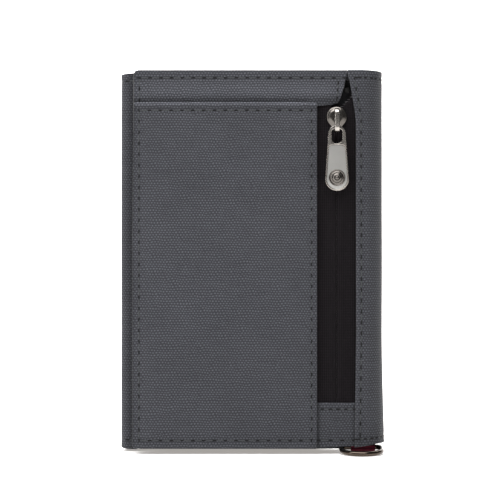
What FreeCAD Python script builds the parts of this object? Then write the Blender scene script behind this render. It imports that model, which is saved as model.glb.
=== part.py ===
import FreeCAD, Part
import math
import os

# Bifold wallet standing upright and closed, in millimetres.
# +X runs from the open edge to the spine, +Y from the back leaf to the front leaf, +Z up.
# Everything is drawn about the plane between the two leaves, then moved to the origin.

V = FreeCAD.Vector

# ---- driving dimensions ----
HEIGHT = 127.0              # top edges above the standing edge
HALF_THICKNESS = 8.0        # middle plane to either outer face
OPEN_EDGE_X = -44.0         # rounded open edge of the front leaf
BACK_EDGE_X = -39.6         # open edge of the back leaf
SPINE_X = 43.5              # outermost face of the spine
INNER_EDGE_X = 37.8         # where the leaves' inner layers stop, short of the spine
SHELL = 0.7                 # doubled outer fabric
SHELL_Y = (-HALF_THICKNESS, -HALF_THICKNESS + SHELL)
CLEARANCE = 0.1             # gap between neighbours that nearly touch
BACK_WALL_Y = (-7.2, -6.7)  # layer behind the slip pocket
BACK_FOOT = 1.4             # the back leaf hangs this far above the standing edge
CORNER_FOOT = 3.3           # and this far at the spine corner, over the D-ring
CORNER_START_X = 22.0       # where the bottom edges begin to rise
CORNER_END_X = 31.0
FRONT_CORNER_FOOT = 2.4
FRONT_CORNER_END_X = 29.0
SPINE_FOOT = 3.1            # bottom of the spine strips
FOLD_Y = (0.6, HALF_THICKNESS)  # rolled open edge of the front leaf
FOLD_RADIUS = 3.0
FOLD_WIDTH = 3.1

# hidden layers, inside the outer shells
LAYER_FOOT = 4.2
LAYER_TOP_Z = HEIGHT - 1.0
LAYER_INSET = 0.4           # short of the back leaf's open edge
LAYER_HEM = 0.6             # above the front shell's bottom edge
DIVIDER_TOP_Z = HEIGHT - 8.0
CARD_BASE_TOP_Z = HEIGHT - 4.0
BACK_CARD_BASE_X = 24.0
FRONT_CARD_BASE_X = 26.0
COIN_LINING_Y = (-3.5, -3.2)
BACK_INTERLINING_Y = (-3.1, -2.5)
BACK_LINING_Y = (-2.3, -2.0)
BACK_CARD_BASE_Y = (-1.8, -1.5)
FRONT_PADDING_Y = (5.2, 7.2)
FRONT_LINING_Y = (4.7, 5.0)
DIVIDER_Y = (3.7, 4.0)
FRONT_CARD_BASE_Y = (3.0, 3.3)
SEAM_INNER_Y = -3.8         # how deep the back leaf's turned-in seam reaches
SEAM_OPEN_WIDTH = 3.2       # its width along the open edge
SEAM_SPINE_WIDTH = 1.2      # and along the spine
SEAM_FOOT_Z = LAYER_FOOT - 0.5
SEAM_TOP_Z = HEIGHT - 0.4

POCKET_RIGHT_X = 21.5       # slip pocket's edge beside the zip
POCKET_MOUTH_Z = 116.3
PANEL_GAP = 0.2             # between panels that lie side by side
BAND_TOP_Z = 17.0           # band below the zip
STRIP_LEFT_X = 34.3         # folded edge of the strip on the zip's spine side
# the edges of the notch above the zip, as (distance from ZIP_X, height) and (lean, depth below the top)
NOTCH_LEFT = ((0.2, POCKET_MOUTH_Z - 1.0), (1.3, POCKET_MOUTH_Z + 2.0), (2.5, HEIGHT - 3.4), (2.8, HEIGHT))
NOTCH_RIGHT = ((2.8, 0.0), (2.1, 3.4), (1.3, 8.7), (0.5, 13.3))

ZIP_X = 28.0
TAPE_WIDTH = 8.0
TAPE_GAP = 1.0              # between the tapes, for the slider's post
TAPE_Y = (-6.6, -6.1)
COIL_Y = (-6.0, -4.7)
COIL_WIDTH = 1.4
ZIP_BOTTOM_Z = 16.2
ZIP_SPLIT_Z = 115.5         # the tapes part above the slider
TAPE_TOP_Z = 123.3
TAPE_FOOT_Z = 6.2
COIL_TOP_Z = 119.5
SPLIT_SPREAD = 3.6          # how far each tape leans away by its top
TOP_STOP_X = (0.6, 2.4)     # beyond the leaning tape's inner edge
TOP_STOP_Z = (COIL_TOP_Z + 0.1, COIL_TOP_Z + 1.8)
BOTTOM_STOP_Z = (ZIP_BOTTOM_Z - 2.6, ZIP_BOTTOM_Z - 0.1)
BOTTOM_STOP_OVERHANG = 0.3

SLIDER_Z = 111.5            # centre of the slider's round end
SLIDER_RADIUS = 3.5
SLIDER_NOSE_Z = 108.9
SLIDER_NOSE_RADIUS = 1.9
SLIDER_FRONT_Y = (-7.9, -6.8)
SLIDER_BACK_Y = (-4.5, -3.6)
POST_WIDTH = 0.7
POST_LENGTH = 3.0
FLANGE_X = (2.5, 3.1)       # the slider's sides that wrap the coil
FLANGE_DEPTH = 0.9
FLANGE_HALF_LENGTH = 1.2
WELD = 0.1                  # how far the slider's pieces run into each other
BAIL_WIDTH = 1.7
BAIL_Z = (106.3, 114.2)
BAIL_FRONT_Y = -10.9
BAIL_THICKNESS = 0.8
BAIL_RADIUS = 1.7           # outer corners
BAIL_INNER_RADIUS = 0.9

TAB_Y = (-9.6, -8.4)
TAB_LOW_Z, TAB_LOW_RADIUS = 90.85, 3.85
TAB_HIGH_Z, TAB_HIGH_RADIUS = 105.75, 2.85
TAB_HOLE_HALF = 1.8
TAB_HOLE_Z = (102.5, 107.3)
TAB_RECESS = 0.25
TAB_BORDER = 0.75
TAB_RECESS_TOP_Z = 101.6
MEDALLION_Z = 91.3
MEDALLION_RADIUS = 2.75
MEDALLION_HEIGHT = 0.7

RING_X = 36.2
RING_WIRE = 1.7             # diameter
RING_HALF_WIDTH = 6.5       # to the wire's centre
RING_CORNER = 1.6
RING_BAR_Y = -1.75
RING_BAR_Z = 1.75
RING_BOW_Y = -7.2           # centre of the bow
WEBBING_X = 37.0
WEBBING_WIDTH = 8.0
WEBBING = 0.75
WEBBING_TOP_Z = 14.0
LOOP_TAIL_LAP = 0.05        # how far the tail laps into the curl

SPINE_PLY = 1.3             # shell, gap and lining together
LINING = 0.3
SPINE_PARTS = "abc"
SPINE_CENTRE_X = SPINE_X - HALF_THICKNESS
SPINE_TURN = 45.0           # degrees from one fold line to the next
CARD_WIDTH = 62.0
CARD_LEFT_X = OPEN_EDGE_X + 4.4
CARD_SLOT_TOP_Z = HEIGHT - 20.0
CARD_SLOT_STEP_Z = 16.0
CARD_PLY = 0.2
CARD_PITCH = 0.3            # from one slot's layer to the next
BACK_CARD_Y = -1.4          # first slot of each leaf
FRONT_CARD_Y = 2.9
WINDOW_FRAME_Y = (1.1, 1.5)
WINDOW_FRAME_TOP_Z = 96.0
WINDOW_Y = (1.6, 1.8)
WINDOW_BORDER = (6.0, 8.0)  # frame's width at the sides and the foot
WINDOW_OPENING_TOP_Z = 88.0
WINDOW_LAP = 2.0            # how far the window runs behind its frame


def box(x, y, z):
    return Part.makeBox(x[1] - x[0], y[1] - y[0], z[1] - z[0], V(x[0], y[0], z[0]))


def plate(outline, y):
    """A flat layer between two values of y from its outline of (x, z) points."""
    points = [V(px, y[0], pz) for px, pz in outline]
    face = Part.Face(Part.makePolygon(points + points[:1]))
    return face.extrude(V(0, y[1] - y[0], 0))


def upright(outline, z):
    """A vertical prism between two heights from its outline of (x, y) points."""
    points = [V(px, py, z[0]) for px, py in outline]
    face = Part.Face(Part.makePolygon(points + points[:1]))
    return face.extrude(V(0, 0, z[1] - z[0]))


def capsule_face(low, high, y):
    """The face round two circles, each given as (z, radius), and their tangents."""
    (z0, r0), (z1, r1) = low, high
    lean = math.asin((r0 - r1) / (z1 - z0))
    side, rise = math.cos(lean), math.sin(lean)
    a = V(ZIP_X + r0 * side, y, z0 + r0 * rise)
    b = V(ZIP_X + r1 * side, y, z1 + r1 * rise)
    c = V(ZIP_X - r1 * side, y, z1 + r1 * rise)
    d = V(ZIP_X - r0 * side, y, z0 + r0 * rise)
    edges = [
        Part.makeLine(a, b),
        Part.Arc(b, V(ZIP_X, y, z1 + r1), c).toShape(),
        Part.makeLine(c, d),
        Part.Arc(d, V(ZIP_X, y, z0 - r0), a).toShape(),
    ]
    return Part.Face(Part.Wire(edges))


def capsule(low, high, y):
    return capsule_face(low, high, y[0]).extrude(V(0, y[1] - y[0], 0))


# ---- back leaf ----
def slip_pocket_panel():
    return box((BACK_EDGE_X, POCKET_RIGHT_X), SHELL_Y, (BACK_FOOT, POCKET_MOUTH_Z))


def pocket_back_wall():
    """The wall behind the slip pocket, with the band above the zip."""
    outline = [
        (BACK_EDGE_X, BACK_FOOT),
        (POCKET_RIGHT_X, BACK_FOOT),
        (POCKET_RIGHT_X, NOTCH_LEFT[0][1]),
    ]
    outline += [(ZIP_X + beyond, z) for beyond, z in NOTCH_LEFT]
    return plate(outline + [(BACK_EDGE_X, HEIGHT)], BACK_WALL_Y)


def bottom_band():
    outline = [
        (POCKET_RIGHT_X + PANEL_GAP, BACK_FOOT),
        (CORNER_START_X, BACK_FOOT),
        (CORNER_END_X, CORNER_FOOT),
        (STRIP_LEFT_X - PANEL_GAP, CORNER_FOOT),
        (STRIP_LEFT_X - PANEL_GAP, BAND_TOP_Z),
        (POCKET_RIGHT_X + PANEL_GAP, BAND_TOP_Z),
    ]
    return plate(outline, BACK_WALL_Y)


def zip_side_strip():
    """Outer shell between the zip and the spine; its folded edge leans over near the top."""
    right = hinge_line(0, SHELL)[0]
    outline = [(STRIP_LEFT_X, CORNER_FOOT), (right, CORNER_FOOT), (right, HEIGHT)]
    outline += [(STRIP_LEFT_X - lean, HEIGHT - depth) for lean, depth in NOTCH_RIGHT]
    return plate(outline, SHELL_Y)


def zip_tape(side):
    """side is -1 for the tape on the pocket's side, +1 for the one on the spine's side."""
    inner, outer = TAPE_GAP / 2, TAPE_WIDTH
    outline = [
        (ZIP_X + side * inner, TAPE_FOOT_Z),
        (ZIP_X + side * inner, ZIP_SPLIT_Z),
        (ZIP_X + side * (inner + SPLIT_SPREAD), TAPE_TOP_Z),
        (ZIP_X + side * outer, TAPE_TOP_Z),
        (ZIP_X + side * outer, TAPE_FOOT_Z),
    ]
    return plate(outline, TAPE_Y)


def coil_lean():
    """How far each coil has leaned away by its top, along its tape's edge."""
    return SPLIT_SPREAD * (COIL_TOP_Z - ZIP_SPLIT_Z) / (TAPE_TOP_Z - ZIP_SPLIT_Z)


def zip_coil(side):
    inner = TAPE_GAP / 2 + CLEARANCE
    outer = inner + COIL_WIDTH
    lean = coil_lean()
    outline = [
        (ZIP_X + side * inner, ZIP_BOTTOM_Z),
        (ZIP_X + side * inner, ZIP_SPLIT_Z),
        (ZIP_X + side * (inner + lean), COIL_TOP_Z),
        (ZIP_X + side * (outer + lean), COIL_TOP_Z),
        (ZIP_X + side * outer, ZIP_SPLIT_Z),
        (ZIP_X + side * outer, ZIP_BOTTOM_Z),
    ]
    return plate(outline, COIL_Y)


def zip_top_stop(side):
    near, far = sorted(ZIP_X + side * (coil_lean() + edge) for edge in TOP_STOP_X)
    return box((near, far), COIL_Y, TOP_STOP_Z)


def zip_bottom_stop():
    half = TAPE_GAP / 2 + COIL_WIDTH + BOTTOM_STOP_OVERHANG
    return box((ZIP_X - half, ZIP_X + half), COIL_Y, BOTTOM_STOP_Z)


def back_seam_frame():
    """Turned-in seam allowance that closes the coin pocket all round."""
    y = (TAPE_Y[0], SEAM_INNER_Y)
    outer = box((BACK_EDGE_X, INNER_EDGE_X), y, (SEAM_FOOT_Z, SEAM_TOP_Z))
    window_x = (BACK_EDGE_X + SEAM_OPEN_WIDTH, INNER_EDGE_X - SEAM_SPINE_WIDTH)
    return outer.cut(box(window_x, y, (TAPE_FOOT_Z - CLEARANCE, TAPE_TOP_Z + CLEARANCE)))


def back_layer(y, right=INNER_EDGE_X, top=LAYER_TOP_Z):
    return box((BACK_EDGE_X + LAYER_INSET, right), y, (LAYER_FOOT, top))


# ---- front leaf ----
def front_foot(left, right):
    """The bottom edge of a front layer, from left to right, rising over the D-ring."""
    return [
        (left, 0),
        (CORNER_START_X, 0),
        (FRONT_CORNER_END_X, FRONT_CORNER_FOOT),
        (right, FRONT_CORNER_FOOT),
    ]


def front_left():
    """Where the front leaf's flat layers start, beside the rolled edge."""
    return OPEN_EDGE_X + FOLD_WIDTH + CLEARANCE


def front_shell():
    left, right = front_left(), hinge_line(len(SPINE_PARTS), SHELL)[0]
    outline = front_foot(left, right) + [(right, HEIGHT), (left, HEIGHT)]
    return plate(outline, (HALF_THICKNESS - SHELL, HALF_THICKNESS))


def front_edge_fold():
    """The shell rolled round the open edge of the front leaf."""
    (low, high), radius = FOLD_Y, FOLD_RADIUS
    left, right = OPEN_EDGE_X, OPEN_EDGE_X + FOLD_WIDTH
    bulge = radius * math.sqrt(0.5)
    points = [V(right, low, 0), V(left + radius, low, 0), V(left, low + radius, 0)]
    points += [V(left, high - radius, 0), V(left + radius, high, 0), V(right, high, 0)]
    arcs = [
        Part.Arc(points[1], V(left + radius - bulge, low + radius - bulge, 0), points[2]).toShape(),
        Part.Arc(points[3], V(left + radius - bulge, high - radius + bulge, 0), points[4]).toShape(),
    ]
    wire = Part.Wire([
        Part.makeLine(points[0], points[1]), arcs[0], Part.makeLine(points[2], points[3]),
        arcs[1], Part.makeLine(points[4], points[5]), Part.makeLine(points[5], points[0]),
    ])
    return Part.Face(wire).extrude(V(0, 0, HEIGHT))


def front_layer(y, right=INNER_EDGE_X, top=LAYER_TOP_Z):
    left = front_left()
    outline = [(px, pz + LAYER_HEM) for px, pz in front_foot(left, right)]
    return plate(outline + [(right, top), (left, top)], y)


def card_slot(level, y):
    """One of three stepped pockets; level 0 is the tallest and furthest from the middle."""
    top = CARD_SLOT_TOP_Z - level * CARD_SLOT_STEP_Z
    return box((CARD_LEFT_X, CARD_LEFT_X + CARD_WIDTH), y, (LAYER_FOOT, top))


def window_opening(y, lap):
    """The ID window's opening, widened on every side by lap."""
    side, foot = WINDOW_BORDER[0] - lap, WINDOW_BORDER[1] - lap
    x = (CARD_LEFT_X + side, CARD_LEFT_X + CARD_WIDTH - side)
    return box(x, y, (LAYER_FOOT + foot, WINDOW_OPENING_TOP_Z + lap))


def id_window_frame():
    x = (CARD_LEFT_X, CARD_LEFT_X + CARD_WIDTH)
    outer = box(x, WINDOW_FRAME_Y, (LAYER_FOOT, WINDOW_FRAME_TOP_Z))
    return outer.cut(window_opening(WINDOW_FRAME_Y, 0.0))


def id_window():
    return window_opening(WINDOW_Y, WINDOW_LAP)


# ---- spine: three strips between four fold lines, half of a regular octagon ----
def hinge_line(index, inset=0.0):
    """(x, y) of fold line 0 to 3, moved in towards the spine's centre line."""
    apothem = HALF_THICKNESS - inset
    angle = math.radians(SPINE_TURN * (index - len(SPINE_PARTS) / 2))
    radius = apothem / math.cos(math.radians(SPINE_TURN / 2))
    return SPINE_CENTRE_X + radius * math.cos(angle), radius * math.sin(angle)


def spine_strip(index, inset):
    """Strip index, from its fold line to the next, inset = (outer, inner) depth."""
    outer, inner = inset
    outline = [hinge_line(index, outer), hinge_line(index + 1, outer)]
    outline += [hinge_line(index + 1, inner), hinge_line(index, inner)]
    return upright(outline, (SPINE_FOOT, HEIGHT))


# ---- zip slider and pull ----
def slider_body():
    """Front and back plates joined by a post, with side flanges round the coil."""
    nose, round_end = (SLIDER_NOSE_Z, SLIDER_NOSE_RADIUS), (SLIDER_Z, SLIDER_RADIUS)
    body = capsule(nose, round_end, SLIDER_FRONT_Y).fuse(capsule(nose, round_end, SLIDER_BACK_Y))
    post_y = (SLIDER_FRONT_Y[1] - WELD, SLIDER_BACK_Y[0] + WELD)
    half = POST_WIDTH / 2
    body = body.fuse(box((ZIP_X - half, ZIP_X + half), post_y, (SLIDER_Z, SLIDER_Z + POST_LENGTH)))
    flange_y = (SLIDER_BACK_Y[0] - FLANGE_DEPTH, SLIDER_BACK_Y[0] + WELD)
    flange_z = (SLIDER_Z - FLANGE_HALF_LENGTH, SLIDER_Z + FLANGE_HALF_LENGTH)
    for side in (-1, 1):
        near, far = sorted(ZIP_X + side * edge for edge in FLANGE_X)
        body = body.fuse(box((near, far), flange_y, flange_z))
    return body.removeSplitter()


def arch(low, high, root, front, radius):
    """A block on the slider, from z low to high, with its two front corners rounded."""
    x = ZIP_X - BAIL_WIDTH / 2
    cut = radius * (1 - math.sqrt(0.5))
    a, b, c = V(x, front + radius, low), V(x, front + cut, low + cut), V(x, front, low + radius)
    d, e, f = V(x, front, high - radius), V(x, front + cut, high - cut), V(x, front + radius, high)
    edges = [
        Part.makeLine(V(x, root, low), a),
        Part.Arc(a, b, c).toShape(),
        Part.makeLine(c, d),
        Part.Arc(d, e, f).toShape(),
        Part.makeLine(f, V(x, root, high)),
        Part.makeLine(V(x, root, high), V(x, root, low)),
    ]
    return Part.Face(Part.Wire(edges)).extrude(V(BAIL_WIDTH, 0, 0))


def slider_bail():
    """Bridge on the front plate that the pull hangs from."""
    low, high = BAIL_Z
    root, t = SLIDER_FRONT_Y[0], BAIL_THICKNESS
    outer = arch(low, high, root, BAIL_FRONT_Y, BAIL_RADIUS)
    inner = arch(low + t, high - t, root + CLEARANCE, BAIL_FRONT_Y + t, BAIL_INNER_RADIUS)
    return outer.cut(inner)


def pull_tab():
    """Flat pull with an eye for the bail and a sunk panel on its outer face."""
    low, high = (TAB_LOW_Z, TAB_LOW_RADIUS), (TAB_HIGH_Z, TAB_HIGH_RADIUS)
    tab = capsule(low, high, TAB_Y)
    half, (eye_low, eye_high) = TAB_HOLE_HALF, TAB_HOLE_Z
    eye_y = (TAB_Y[0] - 1.0, TAB_Y[1] + 1.0)
    eye = box((ZIP_X - half, ZIP_X + half), eye_y, (eye_low + half, eye_high))
    rounded = Part.makeCylinder(half, eye_y[1] - eye_y[0], V(ZIP_X, eye_y[0], eye_low + half), V(0, 1, 0))
    tab = tab.cut(eye.fuse(rounded))
    sunk_y = (TAB_Y[0] - CLEARANCE, TAB_Y[0] + TAB_RECESS)
    inset_low = (TAB_LOW_Z, TAB_LOW_RADIUS - TAB_BORDER)
    inset_high = (TAB_HIGH_Z, TAB_HIGH_RADIUS - TAB_BORDER)
    sunk = capsule(inset_low, inset_high, sunk_y)
    wide = TAB_LOW_RADIUS
    above_y = (sunk_y[0] - CLEARANCE, sunk_y[1] + CLEARANCE)
    above = box((ZIP_X - wide, ZIP_X + wide), above_y, (TAB_RECESS_TOP_Z, HEIGHT))
    return tab.cut(sunk.cut(above))


def tab_medallion():
    """Domed boss, a shallow slice of a ball, seated in the sunk panel."""
    seat = TAB_Y[0] + TAB_RECESS
    ball = (MEDALLION_RADIUS**2 + MEDALLION_HEIGHT**2) / (2 * MEDALLION_HEIGHT)
    centre = V(ZIP_X, seat - MEDALLION_HEIGHT + ball, MEDALLION_Z)
    wide = MEDALLION_RADIUS + 1.0
    front_y = (seat - MEDALLION_HEIGHT - 1.0, seat)
    front = box((ZIP_X - wide, ZIP_X + wide), front_y, (MEDALLION_Z - wide, MEDALLION_Z + wide))
    return Part.makeSphere(ball, centre).common(front)


# ---- D-ring and its webbing ----
def d_ring():
    """Round wire bent to a D; its bar lies in the webbing and its bow rests on the floor."""
    z, corner, half = RING_BAR_Z, RING_CORNER, RING_HALF_WIDTH
    left, right, bar, bow = RING_X - half, RING_X + half, RING_BAR_Y, RING_BOW_Y
    cut = corner * (1 - math.sqrt(0.5))
    start = V(RING_X, bar, z)
    bar_right, side_right = V(right - corner, bar, z), V(right, bar - corner, z)
    bar_left, side_left = V(left + corner, bar, z), V(left, bar - corner, z)
    bow_right, bow_left = V(right, bow, z), V(left, bow, z)
    edges = [
        Part.makeLine(start, bar_right),
        Part.Arc(bar_right, V(right - cut, bar - cut, z), side_right).toShape(),
        Part.makeLine(side_right, bow_right),
        Part.Arc(bow_right, V(RING_X, bow - half, z), bow_left).toShape(),
        Part.makeLine(bow_left, side_left),
        Part.Arc(side_left, V(left + cut, bar - cut, z), bar_left).toShape(),
        Part.makeLine(bar_left, start),
    ]
    profile = Part.Wire(Part.makeCircle(RING_WIRE / 2, start, V(1, 0, 0)))
    ring = Part.Wire(edges).makePipeShell([profile], True, True)
    drop = RING_BAR_Z - RING_WIRE / 2
    reach = bar - bow + half
    ring.rotate(start, V(1, 0, 0), math.degrees(math.asin(drop / reach)))
    return ring


def ring_webbing():
    """Folded webbing: a curl round the ring's bar and a doubled tail sewn into the spine."""
    left = WEBBING_X - WEBBING_WIDTH / 2
    hole = RING_WIRE / 2 + CLEARANCE
    centre, along = V(left, RING_BAR_Y, RING_BAR_Z), V(1, 0, 0)
    curl = Part.makeCylinder(hole + WEBBING, WEBBING_WIDTH, centre, along)
    tail_y = (RING_BAR_Y - LOOP_TAIL_LAP, RING_BAR_Y + 2 * WEBBING)
    tail = box((left, left + WEBBING_WIDTH), tail_y, (RING_BAR_Z, WEBBING_TOP_Z))
    bar_space = Part.makeCylinder(hole, WEBBING_WIDTH + 2.0, centre - along, along)
    return curl.fuse(tail).cut(bar_space).removeSplitter()


def all_nodes():
    nodes = {
        "slip_pocket_panel": slip_pocket_panel(),
        "pocket_back_wall": pocket_back_wall(),
        "bottom_band": bottom_band(),
        "zip_side_strip": zip_side_strip(),
        "zip_bottom_stop": zip_bottom_stop(),
        "back_seam_frame": back_seam_frame(),
        "coin_pocket_lining": back_layer(COIN_LINING_Y),
        "back_interlining": back_layer(BACK_INTERLINING_Y),
        "back_lining": back_layer(BACK_LINING_Y),
        "back_card_base": back_layer(BACK_CARD_BASE_Y, BACK_CARD_BASE_X, CARD_BASE_TOP_Z),
        "front_shell": front_shell(),
        "front_edge_fold": front_edge_fold(),
        "front_padding": front_layer(FRONT_PADDING_Y),
        "front_lining": front_layer(FRONT_LINING_Y),
        "front_divider": front_layer(DIVIDER_Y, top=DIVIDER_TOP_Z),
        "front_card_base": front_layer(FRONT_CARD_BASE_Y, FRONT_CARD_BASE_X, CARD_BASE_TOP_Z),
        "id_window_frame": id_window_frame(),
        "id_window": id_window(),
        "slider_body": slider_body(),
        "slider_bail": slider_bail(),
        "pull_tab": pull_tab(),
        "tab_medallion": tab_medallion(),
        "d_ring": d_ring(),
        "ring_webbing": ring_webbing(),
    }
    for side, word in ((-1, "left"), (1, "right")):
        nodes[f"zip_tape_{word}"] = zip_tape(side)
        nodes[f"zip_coil_{word}"] = zip_coil(side)
        nodes[f"zip_top_stop_{word}"] = zip_top_stop(side)
    for level in range(3):
        outer = BACK_CARD_Y + CARD_PITCH * level
        nodes[f"back_card_slot_{level + 1}"] = card_slot(level, (outer, outer + CARD_PLY))
        outer = FRONT_CARD_Y - CARD_PITCH * level
        nodes[f"front_card_slot_{level + 1}"] = card_slot(level, (outer - CARD_PLY, outer))
    for index, letter in enumerate(SPINE_PARTS):
        nodes[f"spine_shell_{letter}"] = spine_strip(index, (0, SHELL))
        nodes[f"spine_lining_{letter}"] = spine_strip(index, (SPINE_PLY - LINING, SPINE_PLY))
    return nodes


def main():
    nodes = all_nodes()
    whole = Part.makeCompound(list(nodes.values())).optimalBoundingBox()
    to_origin = V(-(whole.XMin + whole.XMax) / 2, -(whole.YMin + whole.YMax) / 2, -whole.ZMin)
    print("moved by", to_origin, "size", whole.XLength, whole.YLength, whole.ZLength)
    os.makedirs("parts", exist_ok=True)
    for name, shape in nodes.items():
        shape.translate(to_origin)
        shape.exportStep(f"parts/{name}.step")
        print(f"{name:22} solids {len(shape.Solids)} valid {shape.isValid()} volume {shape.Volume:9.2f}")


main()
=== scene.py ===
import math
import bmesh
import bpy
import numpy as np
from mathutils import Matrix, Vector


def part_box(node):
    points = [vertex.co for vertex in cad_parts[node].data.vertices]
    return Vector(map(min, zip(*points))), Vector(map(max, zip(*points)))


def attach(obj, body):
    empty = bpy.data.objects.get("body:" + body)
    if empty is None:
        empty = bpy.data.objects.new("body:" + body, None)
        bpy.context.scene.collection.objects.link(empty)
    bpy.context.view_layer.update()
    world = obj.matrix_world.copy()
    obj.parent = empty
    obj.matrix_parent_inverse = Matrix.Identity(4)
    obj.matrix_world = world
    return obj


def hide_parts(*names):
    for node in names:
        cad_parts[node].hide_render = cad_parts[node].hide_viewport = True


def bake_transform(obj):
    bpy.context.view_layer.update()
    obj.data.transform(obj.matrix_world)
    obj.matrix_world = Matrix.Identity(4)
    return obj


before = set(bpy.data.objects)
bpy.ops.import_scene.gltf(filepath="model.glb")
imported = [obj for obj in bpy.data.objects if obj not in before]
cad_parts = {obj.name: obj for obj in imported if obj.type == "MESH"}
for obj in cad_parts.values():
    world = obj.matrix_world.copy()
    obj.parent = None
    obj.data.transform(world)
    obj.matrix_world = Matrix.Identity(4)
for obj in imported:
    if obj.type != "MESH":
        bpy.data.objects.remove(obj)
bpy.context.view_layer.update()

# The wallet is drawn in millimetres about the middle of its spine: x = 43.5 at the spine's outermost
# line, y = 0 between the leaves, z = 0 at the standing edge. The frame's boxes place that middle.
MM = 0.001
SPINE_X = 43.5
HALF = 8.0
ORIGIN = np.array([
    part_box("spine_shell_b")[1][0] - SPINE_X * MM,
    (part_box("slip_pocket_panel")[0][1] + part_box("front_shell")[1][1]) / 2,
    0.0,
])


def node_box(node):
    """Lowest and highest corner of a CAD node, in the wallet's own millimetres."""
    low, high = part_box(node)
    return (np.array(low) - ORIGIN) / MM, (np.array(high) - ORIGIN) / MM


def to_frame(point):
    """A point of the wallet's own, in the frame's metres."""
    return tuple(np.array(point) * MM + ORIGIN)


POCKET_LOW, POCKET_HIGH = node_box("slip_pocket_panel")
WALL_LOW, WALL_HIGH = node_box("pocket_back_wall")
BAND_LOW, BAND_HIGH = node_box("bottom_band")
TAPE_LOW, TAPE_HIGH = node_box("zip_tape_right")
COIL_LOW, COIL_HIGH = node_box("zip_coil_right")
SLIDER_LOW, SLIDER_HIGH = node_box("slider_body")
BAIL_LOW, BAIL_HIGH = node_box("slider_bail")
TAB_LOW, TAB_HIGH = node_box("pull_tab")
BOSS_LOW, BOSS_HIGH = node_box("tab_medallion")
RING_LOW, RING_HIGH = node_box("d_ring")
LOOP_LOW, LOOP_HIGH = node_box("ring_webbing")
OPEN_EDGE_X = node_box("front_edge_fold")[0][0]
TOP = WALL_HIGH[2]
ZIP_X = (SLIDER_LOW[0] + SLIDER_HIGH[0]) / 2
ARC_X = SPINE_X - HALF          # centre of the spine's curve


# ---------------------------------------------------------------- meshes
JOIN_WITHIN = 1e-7                # points closer than this, in metres, are one
MOST_TURN = 0.4                   # a fold's radius, at most, as a share of a narrow sheet's side


def placed(name, data):
    """A new object in the scene."""
    made = bpy.data.objects.new(name, data)
    bpy.context.collection.objects.link(made)
    return made


def make(name, verts, faces, material, body, cloth, tone=None):
    """A mesh piece from points in the wallet's millimetres.

    cloth is the weave's own (u, v) in millimetres. tone is painted light and shade: it lightens folds as if
    they caught the light and darkens creases, seams and gaps as if shaded.
    """
    mesh = bpy.data.meshes.new(name)
    mesh.from_pydata([to_frame(v) for v in verts], [], [list(f) for f in faces])
    mesh.validate()
    piece = placed(name, mesh)
    woven = mesh.attributes.new("cloth", "FLOAT_VECTOR", "POINT")
    flat = np.zeros((len(verts), 3), np.float32)
    flat[:, :2] = cloth
    if tone is not None:
        flat[:, 2] = tone
    woven.data.foreach_set("vector", flat.ravel())
    close_up(mesh)
    mesh.polygons.foreach_set("use_smooth", [True] * len(mesh.polygons))
    mesh.materials.append(material)
    if body:
        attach(piece, body)
    return piece


def close_up(mesh):
    """Joins points that coincide, as at a fold's edge, and turns every face outwards."""
    bm = bmesh.new()
    bm.from_mesh(mesh)
    bmesh.ops.remove_doubles(bm, verts=bm.verts, dist=JOIN_WITHIN)
    bmesh.ops.recalc_face_normals(bm, faces=bm.faces)
    if bm.calc_volume(signed=True) < 0:
        bmesh.ops.reverse_faces(bm, faces=bm.faces)
    bm.to_mesh(mesh)
    bm.free()


def quads(rows, cols, start=0, close_cols=False):
    """Faces of a grid of rows by cols points, in rows."""
    last = cols if close_cols else cols - 1
    return [
        (start + r * cols + c, start + r * cols + (c + 1) % cols,
         start + (r + 1) * cols + (c + 1) % cols, start + (r + 1) * cols + c)
        for r in range(rows - 1) for c in range(last)
    ]


def spaced(length, step, edge):
    """Distances from 0 to length, close together within edge of both ends."""
    rim = edge * (1 - np.cos(np.linspace(0, math.pi / 2, 5)))
    middle = np.linspace(edge, length - edge, max(2, int(round((length - 2 * edge) / step)) + 1))
    return np.concatenate([rim[:-1], middle, (length - rim[:-1])[::-1]])


def steady(value):
    """A constant as a function of one coordinate."""
    return value if callable(value) else lambda t: value + 0 * t


def fold(distance, radius):
    """Height, 0 to 1, of a folded edge's round profile at a distance in from the fold."""
    inside = np.clip(distance / radius, 0, 1)
    return np.sqrt(np.clip(1 - (1 - inside) ** 2, 0, 1))


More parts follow.
